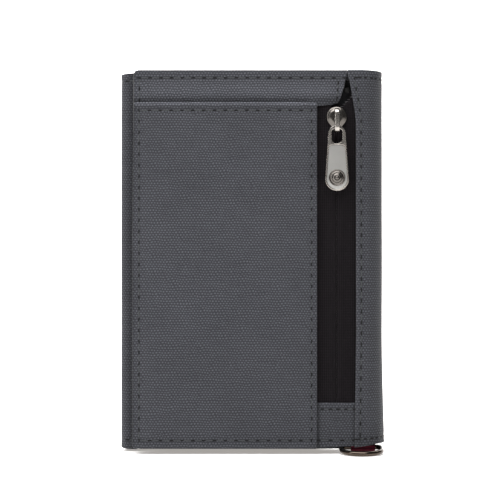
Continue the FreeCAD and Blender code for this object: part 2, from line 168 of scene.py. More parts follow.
def panel(name, left, right, foot, top, y, material, body, step=1.0, relief=None, corner=0.0,
          tone=None):
    """A sheet of doubled cloth, folded round at all four edges.

    left and right may depend on z, foot and top on x. relief(x, z) lifts the face and the back alike.
    step is the spacing of its points, or an (across, up) pair.
    """
    left, right, foot, top = steady(left), steady(right), steady(foot), steady(top)
    half, middle = (y[1] - y[0]) / 2, (y[1] + y[0]) / 2
    mid_z = (foot(0.0) + top(0.0)) / 2
    wide = float(right(mid_z) - left(mid_z))
    tall = float(top(0.0) - foot(0.0))
    step_x, step_z = step if isinstance(step, tuple) else (step, step)
    turn = min(half, MOST_TURN * wide, MOST_TURN * tall)
    across = spaced(wide, step_x, turn) / wide
    up = spaced(tall, step_z, turn) / tall
    a, b = np.meshgrid(across, up)
    z = foot(0.0) + b * tall
    x = left(z) + a * (right(z) - left(z))
    z = foot(x) + b * (top(x) - foot(x))
    x = left(z) + a * (right(z) - left(z))
    height = (fold(a * wide, turn) * fold((1 - a) * wide, turn)
              * fold(b * tall, turn) * fold((1 - b) * tall, turn))
    if corner:
        x, z = round_corners(x, z, a, b, wide, tall, corner)
    shade = tone(x, z) + 0 * x if tone else 0 * x
    lift = relief(x, z) if relief else 0 * x
    front = np.stack([x, middle - half * height - lift, z], -1).reshape(-1, 3)
    back = np.stack([x, middle + half * height - lift, z], -1).reshape(-1, 3)
    rows, cols = x.shape
    faces = quads(rows, cols)
    count = rows * cols
    inside = np.zeros((rows, cols), bool)
    inside[1:-1, 1:-1] = True
    inner = np.flatnonzero(inside)
    index = np.arange(count)
    index[inner] = count + np.arange(len(inner))
    faces += [tuple(index[list(f)][::-1]) for f in faces]
    verts = np.concatenate([front, back[inner]])
    shade = np.concatenate([shade.ravel(), shade.ravel()[inner]])
    return make(name, verts, faces, material, body, verts[:, [0, 2]], tone=shade)


def stand_in(name, node, material, body, step, corner, relief=None):
    """A sheet that fills a CAD node's box and takes its place."""
    low, high = node_box(node)
    piece = panel(name, low[0], high[0], low[2], high[2], (low[1], high[1]), material, body, step, relief,
                  corner=corner)
    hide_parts(node)
    return piece


def round_corners(x, z, a, b, wide, tall, radius):
    """Pulls the four corners of a sheet in to a round of that radius, or of a (left, right) pair."""
    left_radius, right_radius = radius if isinstance(radius, tuple) else (radius, radius)
    radius = np.where(a < 0.5, left_radius, right_radius)
    dx = np.minimum(a, 1 - a) * wide
    dz = np.minimum(b, 1 - b) * tall
    p, q = 1 - np.clip(dx / radius, 0, 1), 1 - np.clip(dz / radius, 0, 1)
    long = np.hypot(p, q)
    scale = np.where(long > 1e-9, np.maximum(p, q) / np.maximum(long, 1e-9), 1)
    x = x + np.where(a < 0.5, 1, -1) * radius * p * (1 - scale)
    z = z + np.where(b < 0.5, 1, -1) * radius * q * (1 - scale)
    return x, z


def sweep(name, path, profile, place, material, body, closed=False, tone=0.0):
    """A profile of (u, v) points carried along a flat path of (p, q) points.

    u runs along the path's normal and v across its plane; place(p, q, v) gives the point in space.
    """
    path, profile = np.array(path, float), np.array(profile, float)
    ahead = np.roll(path, -1, 0) - path
    behind = path - np.roll(path, 1, 0)
    if not closed:
        ahead[-1], behind[0] = behind[-1], ahead[0]
    ahead /= np.linalg.norm(ahead, axis=1)[:, None]
    behind /= np.linalg.norm(behind, axis=1)[:, None]
    along = ahead + behind
    along /= np.linalg.norm(along, axis=1)[:, None]
    stretch = 1 / np.clip((along * ahead).sum(1), 0.5, 1)
    normal = np.stack([along[:, 1], -along[:, 0]], 1) * stretch[:, None]
    run = np.concatenate([[0], np.cumsum(np.linalg.norm(np.diff(path, axis=0), axis=1))])
    girth = np.concatenate([[0], np.cumsum(np.linalg.norm(np.diff(profile, axis=0), axis=1))])
    verts, cloth = [], []
    for (p, q), (n_p, n_q), s in zip(path, normal, run):
        for (u, v), g in zip(profile, girth):
            verts.append(place(p + n_p * u, q + n_q * u, v))
            cloth.append((s, g))
    rows, cols = len(path), len(profile)
    last = (rows - 1) * cols
    faces = quads(rows, cols, close_cols=True)
    if closed:
        faces += [(last + c, last + (c + 1) % cols, (c + 1) % cols, c) for c in range(cols)]
    else:
        faces += [tuple(range(cols)), tuple(range(last, rows * cols))]
    return make(name, verts, faces, material, body, np.array(cloth), np.full(len(verts), tone))


def arc(centre, radius, start, end, count):
    """Points on an arc, angles in degrees."""
    angles = np.radians(np.linspace(start, end, count))
    return [(centre[0] + radius * math.cos(t), centre[1] + radius * math.sin(t)) for t in angles]


def round_rect(u, v, radius):
    """A closed rounded rectangle between u = (low, high) and v = (low, high)."""
    points = []
    for cu, cv, turn in ((u[1], v[1], 0), (u[0], v[1], 90), (u[0], v[0], 180), (u[1], v[0], 270)):
        centre = (cu - math.copysign(radius, cu - sum(u) / 2), cv - math.copysign(radius, cv - sum(v) / 2))
        points += arc(centre, radius, turn, turn + 90, 4)
    return points


# ---------------------------------------------------------------- materials
def srgb(r, g, b):
    """Linear colour from 8-bit display values."""
    def one(c):
        c /= 255
        return c / 12.92 if c <= 0.04045 else ((c + 0.055) / 1.055) ** 2.4
    return (one(r), one(g), one(b), 1.0)


class Shader:
    """A small helper that adds nodes to one material; sockets are set on the surface itself."""

    def __init__(self, name, **sockets):
        self.material = bpy.data.materials.new(name)
        self.material.use_nodes = True
        self.tree = self.material.node_tree
        self.surface = self.tree.nodes["Principled BSDF"]
        for socket, value in sockets.items():
            self.surface.inputs[socket.replace("_", " ")].default_value = value

    def node(self, kind, inputs=(), **settings):
        """A new node with its settings, then (input, value or output) pairs."""
        made = self.tree.nodes.new(kind)
        for key, value in settings.items():
            setattr(made, key, value)
        for socket, value in inputs:
            self.feed(made.inputs[socket], value)
        return made

    def feed(self, target, value):
        if isinstance(value, bpy.types.NodeSocket):
            self.tree.links.new(value, target)
        else:
            target.default_value = value

    def math(self, operation, *values):
        return self.node("ShaderNodeMath", enumerate(values), operation=operation).outputs[0]

    def wave(self, value, period, kind="SINE"):
        return self.math(kind, self.math("MULTIPLY", value, 2 * math.pi / period))

    def scaled(self, vector, factor):
        """A colour or a place times one factor."""
        inputs = ((0, vector), ("Scale", factor))
        return self.node("ShaderNodeVectorMath", inputs, operation="SCALE").outputs[0]

    def noise(self, scale, detail=3.0, rough=0.5, vector=None, stretch=None):
        """Noise in cycles per millimetre, 0 to 1, over the piece's position or a given vector."""
        if vector is None:
            vector = self.scaled(self.node("ShaderNodeTexCoord").outputs["Object"], 1 / MM)
        if stretch:
            vector = self.node("ShaderNodeMapping", (("Scale", stretch), ("Vector", vector))).outputs[0]
        inputs = (("Scale", scale), ("Detail", detail), ("Roughness", rough), ("Vector", vector))
        return self.node("ShaderNodeTexNoise", inputs).outputs["Fac"]

    def cloth(self):
        """The weave's own u, v and (u, v, 0) in millimetres; self.tone is the painted light and shade stored
        with the cloth.
        """
        made = self.node("ShaderNodeAttribute", attribute_name="cloth")
        parts = self.node("ShaderNodeSeparateXYZ", ((0, made.outputs["Vector"]),)).outputs
        u, v, self.tone = parts[0], parts[1], parts[2]
        return u, v, self.node("ShaderNodeCombineXYZ", ((0, u), (1, v))).outputs[0]

    def ramp(self, value, stops):
        made = self.node("ShaderNodeValToRGB", ((0, value),))
        elements = made.color_ramp.elements
        while len(elements) < len(stops):
            elements.new(0.5)
        for element, (place, colour) in zip(elements, stops):
            element.position, element.color = place, colour
        return made.outputs["Color"]

    def colour(self, value):
        self.feed(self.surface.inputs["Base Color"], value)

    def roughness(self, value, low, high):
        made = self.node("ShaderNodeMapRange", (("Value", value), ("To Min", low), ("To Max", high)))
        self.feed(self.surface.inputs["Roughness"], made.outputs[0])

    def bump(self, height, depth_mm, strength):
        inputs = (("Strength", strength), ("Distance", depth_mm * MM), ("Height", height))
        self.feed(self.surface.inputs["Normal"], self.node("ShaderNodeBump", inputs).outputs[0])


def darker(colour, share):
    return tuple(c * share for c in colour[:3]) + (1.0,)


YARN_U, YARN_V = 0.505, 0.81      # one yarn's width across and along, in millimetres
ROW_SHARE = 0.55                  # how much the weft's rows show beside the crossings
MOTTLE = 0.2                      # how far uneven yarn and dye change the colour


def weave(name, low, middle, high, yarn=(YARN_U, YARN_V), depth=0.12):
    """Plain weave: crowns where one set of yarns passes over, on a chequer of yarn crossings."""
    s = Shader(name, Roughness=0.86, Sheen_Weight=0.12, Sheen_Roughness=0.5, Specular_IOR_Level=0.25)
    u, v, vector = s.cloth()
    wander = s.math("MULTIPLY_ADD", s.noise(0.3, vector=vector), 1.1, -0.55)
    u, v = s.math("ADD", u, wander), s.math("ADD", v, wander)
    tightness = s.math("MULTIPLY_ADD", s.noise(0.45, vector=vector), 1.6, -0.05)
    crossing = s.math("MULTIPLY", s.wave(u, 2 * yarn[0]), s.wave(v, 2 * yarn[1]))
    crown = s.math("MULTIPLY", crossing, tightness)
    rows = s.math("MULTIPLY_ADD", s.wave(v, yarn[1], "COSINE"), -ROW_SHARE, crown)
    level = s.math("MULTIPLY_ADD", rows, 0.5 / (1 + ROW_SHARE), 0.5)
    colour = s.ramp(level, [(0.08, low), (0.5, middle), (0.95, high)])
    slub_u = s.noise(1.0, 2.0, vector=vector, stretch=(0.12, 1.3, 1.0))
    slub_v = s.noise(1.0, 2.0, vector=vector, stretch=(2.0, 0.22, 1.0))
    mixed = s.math("ADD", s.math("ADD", slub_u, slub_v), s.noise(0.05, vector=vector))
    uneven = s.math("MULTIPLY_ADD", mixed, MOTTLE * 2, 1 - MOTTLE * 3)
    # the colour is scaled by the uneven yarn and by 1 + tone, the painted light and shade
    s.colour(s.scaled(colour, s.math("MULTIPLY_ADD", uneven, s.tone, uneven)))
    s.bump(s.math("MULTIPLY_ADD", s.noise(9.0, 2.0, vector=vector), 0.3, level), depth, 0.8)
    return s.material


def ribbed(name, dark, light, pitch_u, pitch_v, depth=0.08, sheen=0.1):
    """Narrow woven tape with fine ribs along it, broken by cross yarns that lean like herringbone."""
    s = Shader(name, Roughness=0.9, Sheen_Weight=sheen, Specular_IOR_Level=0.12)
    u, v, vector = s.cloth()
    rib = s.wave(u, pitch_u)
    cross = s.wave(s.math("MULTIPLY_ADD", s.math("ABSOLUTE", rib), pitch_v * 0.5, v), pitch_v)
    level = s.math("MULTIPLY_ADD", s.math("ADD", rib, s.math("MULTIPLY", cross, 0.7)), 0.28, 0.5)
    uneven = s.math("MULTIPLY_ADD", s.noise(0.6, vector=vector), 0.5, 0.75)
    s.colour(s.scaled(s.ramp(level, [(0.1, dark), (0.9, light)]), uneven))
    s.bump(level, depth, 0.9)
    return s.material


def metal(name, colour, rough, brushed=None, anisotropic=0.0):
    """Plated metal with faint handling marks; brushed stretches them along one axis."""
    s = Shader(name, Metallic=1.0, Anisotropic=anisotropic)
    s.roughness(s.noise(0.45, 4.0, 0.6), rough, rough + 0.08)
    s.colour(s.ramp(s.noise(0.3), [(0.2, darker(colour, 0.93)), (0.8, colour)]))
    if brushed:
        s.bump(s.noise(2.0, stretch=brushed), 0.012, 0.5)
    else:
        s.bump(s.noise(0.5, 2.0), 0.01, 0.12)
    return s.material


def plastic(name, colour, rough):
    """Moulded or lacquered, with a faintly uneven gloss."""
    s = Shader(name, Specular_IOR_Level=0.4)
    s.roughness(s.noise(1.5), rough, rough + 0.15)
    s.colour(s.ramp(s.noise(0.8), [(0.3, darker(colour, 0.8)), (0.8, colour)]))
    s.bump(s.noise(4.0), 0.01, 0.3)
    return s.material


def thread(name, colour):
    """Sewing thread: two plies twisted together."""
    s = Shader(name, Roughness=0.75, Sheen_Weight=0.1)
    u, v, _ = s.cloth()
    twist = s.wave(s.math("ADD", u, v), 0.5)
    s.colour(s.ramp(s.math("MULTIPLY_ADD", twist, 0.5, 0.5), [(0.1, darker(colour, 0.55)), (0.7, colour)]))
    s.bump(twist, 0.03, 0.6)
    return s.material


def foam(name, colour):
    """Matt and open-celled."""
    s = Shader(name, Roughness=0.95)
    s.colour(s.ramp(s.noise(1.2, 4.0), [(0.3, darker(colour, 0.7)), (0.7, colour)]))
    s.bump(s.noise(2.5), 0.1, 0.7)
    return s.material


def film(name):
    """Clear window film, faintly rippled."""
    s = Shader(name, Roughness=0.12, Alpha=0.12)
    s.colour(s.ramp(s.noise(0.1), [(0.3, srgb(225, 232, 236)), (0.7, srgb(240, 244, 246))]))
    s.bump(s.noise(0.08, 1.0), 0.1, 0.2)
    return s.material


GREY = weave("grey_plain_weave", srgb(30, 31, 34), srgb(52, 53, 58), srgb(84, 85, 91))
LINING = weave("dark_lining", srgb(20, 20, 22), srgb(30, 30, 33), srgb(42, 42, 46), (0.3, 0.3), 0.05)
CARD = weave("card_panel_weave", srgb(34, 35, 38), srgb(54, 55, 60), srgb(78, 79, 86), (0.4, 0.45), 0.08)
TAPE = ribbed("black_zip_tape", srgb(2, 1, 2), srgb(24, 20, 23), 0.62, 0.9, sheen=0.04)
WEBBING = ribbed("dark_red_webbing", srgb(46, 8, 20), srgb(92, 22, 40), 1.1, 0.55, depth=0.12)
THREAD = thread("grey_thread", srgb(52, 54, 57))
# Near-black pellets at each needle hole: painted shadow where the thread dives into the cloth.
NEEDLE_HOLE_SHADOW = foam("needle_hole_shadow", srgb(3, 3, 5))
COIL = plastic("black_nylon_coil", srgb(84, 82, 84), 0.25)
LACQUER = plastic("black_lacquered_metal", srgb(8, 8, 8), 0.7)
NICKEL = metal("polished_nickel", srgb(180, 175, 169), 0.22)
# A darker copy of the nickel for the slider's crown and the medallion: partly their darker plating, partly
# painted shade for the dark surroundings they reflect.
DARK_NICKEL = metal("dark_nickel", srgb(104, 100, 96), 0.2)
BRUSHED = metal("brushed_nickel", srgb(188, 187, 184), 0.42, brushed=(0.4, 0.4, 3.0), anisotropic=0.3)
GUNMETAL = metal("gunmetal", srgb(80, 71, 64), 0.12)
FOAM = foam("grey_foam", srgb(120, 120, 122))
FILM = film("clear_film")


# ---------------------------------------------------------------- stitching
STITCH_PITCH = 3.6
STITCH_LENGTH = 2.7
THREAD_HALF = (0.21, 0.13)        # half width across, half height above the cloth
HOLE_HALF = (0.84, 0.28, 0.2)      # half sizes along, across and out of the cloth of a needle hole's painted shadow
PELLET_SIDES = 8


def pellet(centre, along, out, sizes, verts, faces, cloth, rings=5):
    """Adds one rounded lozenge with half sizes along, across and out of the cloth."""
    along, out = np.array(along, float), np.array(out, float)
    across = np.cross(out, along)
    start = len(verts)
    for r in range(rings + 1):
        t = math.pi * r / rings
        reach = -math.cos(t) * sizes[0]
        waist = math.sin(t) ** 0.6 if 0 < r < rings else 0.05
        for k in range(PELLET_SIDES):
            a = 2 * math.pi * k / PELLET_SIDES
            verts.append(np.array(centre) + along * reach + across * (sizes[1] * waist * math.cos(a))
                         + out * (sizes[2] * waist * math.sin(a)))
            cloth.append((reach, a / math.pi * 0.5))
    last = start + rings * PELLET_SIDES
    faces += quads(rings + 1, PELLET_SIDES, start, close_cols=True)
    faces += [tuple(range(start, start + PELLET_SIDES)), tuple(range(last, last + PELLET_SIDES))]


def stitches(name, lines, body, out=(0, -1, 0), place=None, proud=0.03, relief=None, pitch=STITCH_PITCH):
    """Threads, and near-black pellets painted as the needle holes' shadow, along straight runs of (a, b)
    points.

    place(a, b) gives (point, outward direction, direction of +a, direction of +b); by default a is x, b is z
    and the third value of each run is the y of the cloth's face, which relief(x, z) lifts.
    """
    def on_sheet(a, b):
        raised = float(relief(np.float64(a), np.float64(b))) if relief else 0.0
        point = np.array([a, face_y - raised, b])
        return point, np.array(out, float), np.array([1.0, 0, 0]), np.array([0, 0, 1.0])

    threads, holes, pierced = ([], [], []), ([], [], []), set()
    for (a0, b0), (a1, b1), face_y in lines:
        length = math.hypot(a1 - a0, b1 - b0)
        count = max(1, int(round(length / pitch)))
        sizes = (STITCH_LENGTH / 2 * length / count / STITCH_PITCH, *THREAD_HALF)
        for half_step in range(2 * count + 1):
            at = half_step / 2 / count
            a, b = a0 + (a1 - a0) * at, b0 + (b1 - b0) * at
            centre, outward, dir_a, dir_b = (place or on_sheet)(a, b)
            along = (dir_a * (a1 - a0) + dir_b * (b1 - b0)) / length
            spot = (round(a, 2), round(b, 2))
            if half_step % 2:
                pellet(centre + outward * proud, along, outward, sizes, *threads)
            elif spot not in pierced:
                pierced.add(spot)
                pellet(centre, along, outward, HOLE_HALF, *holes, rings=4)
    parts = (("thread", THREAD, threads), ("needle_hole_shadows", NEEDLE_HOLE_SHADOW, holes))
    return [make(f"{name}_{part}", verts, faces, material, body, np.array(cloth))
            for part, material, (verts, faces, cloth) in parts]


# ---------------------------------------------------------------- back leaf
STITCH_IN = 2.6                   # topstitching's distance in from an edge
SINK_DEPTH, SINK_WIDTH = 0.16, 0.9
PUCKER_DEPTH, PUCKER_WIDTH = 0.05, 2.4


def near(distance, width=0.5):
    """1 on a line, fading to 0 over the width beside it."""
    return np.exp(-(distance / width) ** 2)


def sink(distance):
    """How far cloth is pulled in near a line of stitching."""
    return -SINK_DEPTH * near(distance, SINK_WIDTH)


def pucker(along, distance):
    """Small waves that the thread draws up beside a seam."""
    return PUCKER_DEPTH * np.cos(2 * np.pi * along / STITCH_PITCH) * near(distance, PUCKER_WIDTH)


def seam_dip(along, distance):
    return sink(distance) + pucker(along, distance)


def swell(x, z, low, high, height):
    """A soft crown between two corners of a sheet, zero at its edges."""
    s = np.clip((x - low[0]) / (high[0] - low[0]), 0, 1)
    t = np.clip((z - low[1]) / (high[1] - low[1]), 0, 1)
    return height * (np.sin(np.pi * s) * np.sin(np.pi * t)) ** 0.5


def ripple(x, z, size=0.05):
    """Slow unevenness of cloth that has been sewn, turned and pressed."""
    return size * (np.sin(x / 7.3 + 0.6 * np.sin(z / 17.0)) * np.cos(z / 11.7 + 0.4 * np.sin(x / 9.1))
                   + 0.5 * np.sin(x / 3.1 + z / 5.9))


# ---- sewn panels bulge between their seams: a sheet a little larger than its frame is simulated as cloth
SIM_SCALE = 0.01                  # one millimetre in the simulation, where cloth behaves best near a metre
SIM_FRAMES = 22
SIM_STEP = 1.6                    # spacing of the simulated sheet's points, in millimetres
SIM_CLOTH = (("quality", 6), ("mass", 0.2), ("tension_stiffness", 20.0), ("compression_stiffness", 20.0),
             ("shear_stiffness", 8.0), ("bending_stiffness", 1.2), ("air_damping", 4.0))


def bulge(low, high, sewn, spare, push, most):
    """How far a sheet between two (x, z) corners stands out where it isn't sewn, as a function of x and z."""
    xs = np.linspace(low[0], high[0], int((high[0] - low[0]) / SIM_STEP) + 1)
    zs = np.linspace(low[1], high[1], int((high[1] - low[1]) / SIM_STEP) + 1)
    x, z = np.meshgrid(xs, zs)
    mesh = bpy.data.meshes.new("simulated_sheet")
    start_y = -0.02 * np.sin(x / 5.3) * np.cos(z / 8.9)
    verts = np.stack([x, start_y, z], -1).reshape(-1, 3) * SIM_SCALE
    mesh.from_pydata([tuple(v) for v in verts], [], quads(len(zs), len(xs)))
    sheet = placed("simulated_sheet", mesh)
    held = sheet.vertex_groups.new(name="sewn")
    held.add([int(k) for k in np.flatnonzero(sewn(x, z).ravel())], 1.0, "REPLACE")
    cloth = sheet.modifiers.new("cloth", "CLOTH")
    cloth.settings.vertex_group_mass = "sewn"
    for setting, value in SIM_CLOTH:
        setattr(cloth.settings, setting, value)
    cloth.settings.shrink_min = -spare
    cloth.point_cache.frame_start, cloth.point_cache.frame_end = 1, SIM_FRAMES
    scene = bpy.context.scene
    gravity = tuple(scene.gravity)
    scene.gravity = (0, -push, 0)
    for moment in range(1, SIM_FRAMES + 1):
        scene.frame_set(moment)
    settled = sheet.evaluated_get(bpy.context.evaluated_depsgraph_get()).data
    out = np.array([-v.co.y for v in settled.vertices]).reshape(x.shape) / SIM_SCALE
    scene.gravity = gravity
    scene.frame_set(1)
    bpy.data.objects.remove(sheet)
    bpy.data.meshes.remove(mesh)
    out = most * np.tanh(out / most)

    def lift(px, pz):
        a = np.clip((px - xs[0]) / (xs[1] - xs[0]), 0, len(xs) - 1.001)
        b = np.clip((pz - zs[0]) / (zs[1] - zs[0]), 0, len(zs) - 1.001)
        i, j = np.floor(a).astype(int), np.floor(b).astype(int)
        u, v = a - i, b - j
        return ((1 - u) * (1 - v) * out[j, i] + u * (1 - v) * out[j, i + 1]
                + (1 - u) * v * out[j + 1, i] + u * v * out[j + 1, i + 1])
    return lift


POCKET_SEAM_LEFT = POCKET_LOW[0] + 2.3
POCKET_SEAM_RIGHT = POCKET_HIGH[0] - 1.8
POCKET_SEAM_FOOT = POCKET_LOW[2] + 3.2
POCKET_HEM = POCKET_HIGH[2] - 2.7


def leaf_left(z):
    """The back leaf's open edge draws in slightly towards the top."""
    return POCKET_LOW[0] + 0.6 * np.clip((z - 70.0) / 57.0, 0, 1)


POCKET_FOOT = POCKET_LOW[2] + 0.55


def pocket_sewn(x, z):
    return (x < POCKET_SEAM_LEFT + 0.5) | (x > POCKET_SEAM_RIGHT - 0.5) | (z < POCKET_SEAM_FOOT + 0.5)


POCKET_BULGE = bulge((POCKET_LOW[0], POCKET_FOOT), (POCKET_HIGH[0], POCKET_HIGH[2]), pocket_sewn,
                     spare=0.002, push=0.5, most=0.5)


def pocket_relief(x, z):
    seams_low, seams_high = (POCKET_SEAM_LEFT, POCKET_SEAM_FOOT), (POCKET_SEAM_RIGHT, POCKET_HIGH[2] + 6)
    lift = swell(x, z, seams_low, seams_high, 0.15)
    lift = lift + POCKET_BULGE(x, z) + 0.22 * near(POCKET_HIGH[2] - 0.5 - z, 0.7)
    for distance, along in ((x - POCKET_SEAM_LEFT, z), (x - POCKET_SEAM_RIGHT, z), (z - POCKET_SEAM_FOOT, x),
                            (z - POCKET_HEM, x)):
        lift = lift + seam_dip(along, distance)
    return lift + ripple(x, z)


def pocket_painted_shading(x, z):
    """Painted highlight along the mouth's fold, painted shade just below it, in the seams and down the left
    and right edges.
    """
    seams = (near(x - POCKET_SEAM_LEFT) + near(x - POCKET_SEAM_RIGHT)
             + near(z - POCKET_SEAM_FOOT) + near(z - POCKET_HEM))
    mouth = POCKET_HIGH[2] - z
    return (0.95 * near(mouth - 0.45, 0.55) - 0.16 * near(mouth - 1.7, 0.7) - 0.12 * seams
            - 0.5 * near(x - leaf_left(z), 0.45) - 0.20 * near(x - POCKET_HIGH[0], 0.5))


def slip_pocket():
    cloth = panel("slip_pocket_cloth", leaf_left, POCKET_HIGH[0], POCKET_FOOT, POCKET_HIGH[2],
                  (POCKET_LOW[1], POCKET_HIGH[1]), GREY, "back", (0.9, 0.6), pocket_relief, corner=1.0,
                  tone=pocket_painted_shading)
    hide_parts("slip_pocket_panel")
    y = POCKET_LOW[1]
    stitches("slip_pocket_stitches", [
        ((POCKET_SEAM_LEFT, POCKET_SEAM_FOOT), (POCKET_SEAM_LEFT, POCKET_HEM), y),
        ((POCKET_SEAM_RIGHT, POCKET_SEAM_FOOT), (POCKET_SEAM_RIGHT, POCKET_HEM), y),
        ((POCKET_SEAM_LEFT, POCKET_SEAM_FOOT), (POCKET_SEAM_RIGHT, POCKET_SEAM_FOOT), y),
        ((POCKET_SEAM_LEFT, POCKET_HEM), (POCKET_SEAM_RIGHT, POCKET_HEM), y),
    ], "back", relief=pocket_relief)


# The band above the zip: its folded edge leaves the pocket's corner and rises to the top, further right.
BAND_EDGE_Z = (115.1, 115.4, 115.7, 116.1, 116.8, 118.3, 121.6, 123.6, 125.2, 127.5)
BAND_EDGE_X = (POCKET_HIGH[0] - 0.2, 25.0, 27.4, 28.3, 28.9, 29.4, 30.5, 30.9, 31.4, 31.6)
BAND_END_Z = 117.5                # the band's own end row starts here
BAND_SEAM_X = 28.3
TOP_SEAM = TOP - STITCH_IN
WALL_FACE = WALL_LOW[1] - 0.2


def band_edge(z):
    return np.interp(z, BAND_EDGE_Z, BAND_EDGE_X)


def wall_relief(x, z):
    lift = seam_dip(x, z - TOP_SEAM) + np.clip((z - BAND_END_Z) / 2, 0, 1) * seam_dip(z, x - BAND_SEAM_X)
    above = z - POCKET_HIGH[2]
    crown = 0.36 * near(above - 3.2, 2.8) - 0.18 * near(above - 0.4, 0.8)
    return lift + crown - 0.9 * band_dive(x, z) + ripple(x, z)


def band_dive(x, z):
    """The band's lower edge turns in towards the zip."""
    return np.clip((x - 20.0) / 8.0, 0, 1) * np.clip((119.0 - z) / 4.5, 0, 1)


# Painted shading on the band above the pocket: lighter across its crown as if lit from above, a painted
# shadow just above the pocket's mouth, and painted shade in the top seam, the end seam, down the left edge
# and where the band turns in towards the zip.
def wall_painted_shading(x, z):
    above = z - POCKET_HIGH[2]
    return (0.33 * near(above - 3.8, 2.6) - 0.26 * near(above - 0.6, 0.9) - 0.12 * near(z - TOP_SEAM)
            - 0.5 * near(x - leaf_left(z), 0.45) - 0.5 * band_dive(x, z)
            - 0.14 * np.clip((z - BAND_END_Z) / 2, 0, 1) * near(x - BAND_SEAM_X))


def pocket_wall():
    cloth = panel("pocket_wall_cloth", leaf_left, band_edge, POCKET_FOOT + 0.2, TOP,
                  (WALL_FACE, WALL_HIGH[1]), GREY, "back", (0.9, 0.5), wall_relief, corner=(1.3, 0.3),
                  tone=wall_painted_shading)
    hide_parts("pocket_back_wall")
    left = WALL_LOW[0] + 2.4
    stitches("top_band_stitches", [
        ((left, TOP_SEAM), (band_edge(TOP_SEAM) - 0.6, TOP_SEAM), WALL_FACE),
        ((left, POCKET_HIGH[2] + 0.8), (left, TOP_SEAM), WALL_FACE),
    ], "back", relief=wall_relief)
    end_row = ((BAND_SEAM_X - 0.2, 117.8), (BAND_SEAM_X + 0.2, 122.6), WALL_FACE)
    stitches("band_end_stitches", [end_row], "back", relief=wall_relief, pitch=2.2)


def corner_foot(x):
    """Height of the back leaf's bottom edge, which rises over the ring."""
    return np.interp(x, [8.0, 22.0, 34.0, 43.5], [POCKET_FOOT - 0.1, POCKET_FOOT + 0.1, 2.7, 4.2])


FOOT_SEAM_IN = 3.2                # the foot's topstitching lies a little further in
BAND_SEAM = BAND_HIGH[2] - 2.1
BAND_FOOT_SEAM = BAND_LOW[2] + FOOT_SEAM_IN
BAND_FACE = BAND_LOW[1] - 0.1


def band_relief(x, z):
    return (seam_dip(x, z - BAND_SEAM) + sink(z - BAND_FOOT_SEAM) + ripple(x, z)
            + swell(x, z, (BAND_LOW[0] - 1, BAND_FOOT_SEAM), (BAND_HIGH[0] + 1, BAND_SEAM), 0.15))


def band_painted_shading(x, z):
    """Painted shade: lower than its neighbours, so darker, darker in its seam and darkest where it runs under
    them; a painted highlight along its top fold.
    """
    sides = near(x - BAND_LOW[0], 0.8) + near(x - BAND_HIGH[0] - 0.1, 0.8)
    return 0.25 * near(BAND_HIGH[2] - z, 0.4) - 0.10 * near(z - BAND_SEAM) - 0.45 * sides - 0.14


def zip_band():
    cloth = panel("zip_band_cloth", BAND_LOW[0] - 0.6, BAND_HIGH[0] + 0.5, corner_foot, BAND_HIGH[2],
                  (BAND_FACE, BAND_HIGH[1]), GREY, "back", (0.6, 0.5), band_relief,
                  tone=band_painted_shading)
    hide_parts("bottom_band")
    for word, start, z, pitch in (("top", 1.6, BAND_SEAM, 2.8), ("foot", 0.4, BAND_FOOT_SEAM, STITCH_PITCH)):
        run = ((BAND_LOW[0] + start, z), (BAND_HIGH[0] - 0.4, z), BAND_FACE)
        stitches(f"zip_band_{word}_stitches", [run], "back", relief=band_relief, pitch=pitch)


# ---------------------------------------------------------------- outer shell round the spine
# s is the distance along the shell: negative on the back leaf, 0 to ARC_LENGTH round the spine.
ARC_LENGTH = math.pi * HALF
EDGE_RADIUS = 3.0
FLAT_FRONT = ARC_X - (OPEN_EDGE_X + EDGE_RADIUS)
SHELL = 0.7                       # the outer cloth's thickness
EDGE_END_Y = 0.7                  # the rolled open edge ends here, beside the back leaf
BESIDE_ZIP = 1.75                 # the topstitching's distance from the folded edge beside the zip


def round_at(x, y, radius, start, s):
    """What shell_at() gives, at s along a round stretch about (x, y)."""
    t = start + s / radius
    return x + radius * math.cos(t), y + radius * math.sin(t), math.cos(t), math.sin(t)


def shell_at(s):
    """(x, y, outward x, outward y) on the shell's outer face."""
    if s < 0:
        return ARC_X + s, -HALF, 0.0, -1.0
    if s < ARC_LENGTH:
        return round_at(ARC_X, 0.0, HALF, -math.pi / 2, s)
    s -= ARC_LENGTH
    if s < FLAT_FRONT:
        return ARC_X - s, HALF, 0.0, 1.0
    s -= FLAT_FRONT
    quarter = EDGE_RADIUS * math.pi / 2
    straight = HALF - EDGE_END_Y - 2 * EDGE_RADIUS
    centre_x, high_y = OPEN_EDGE_X + EDGE_RADIUS, HALF - EDGE_RADIUS
    if s < quarter:
        return round_at(centre_x, high_y, EDGE_RADIUS, math.pi / 2, s)
    s -= quarter
    if s < straight:
        return OPEN_EDGE_X, high_y - s, -1.0, 0.0
    s -= straight
    if s < quarter:
        return round_at(centre_x, high_y - straight, EDGE_RADIUS, math.pi, s)
    return centre_x + s - quarter, HALF - 2 * EDGE_RADIUS - straight, 0.0, -1.0


EDGE_RUN = EDGE_RADIUS * math.pi + HALF - EDGE_END_Y - 2 * EDGE_RADIUS
ROLL_END = ARC_LENGTH + FLAT_FRONT + EDGE_RUN
FRONT_END = ROLL_END + 2.6
FRONT_FOOT_X = (22.0, 29.0)


def shell_foot(s):
    """Height of the shell's bottom edge along s."""
    if s < ARC_LENGTH:
        return float(np.interp(s, [-2.0, 7.0, 0.5 * ARC_LENGTH, ARC_LENGTH], [2.2, 3.4, 3.4, 2.4]))
    x = ARC_X - (s - ARC_LENGTH)
    rolled = np.interp(s - ARC_LENGTH - FLAT_FRONT, [-3.0, EDGE_RUN / 2, EDGE_RUN - 1.0], [0.0, 1.3, 0.7])
    return float(np.interp(x, FRONT_FOOT_X, [0.0, 2.4]) + rolled)


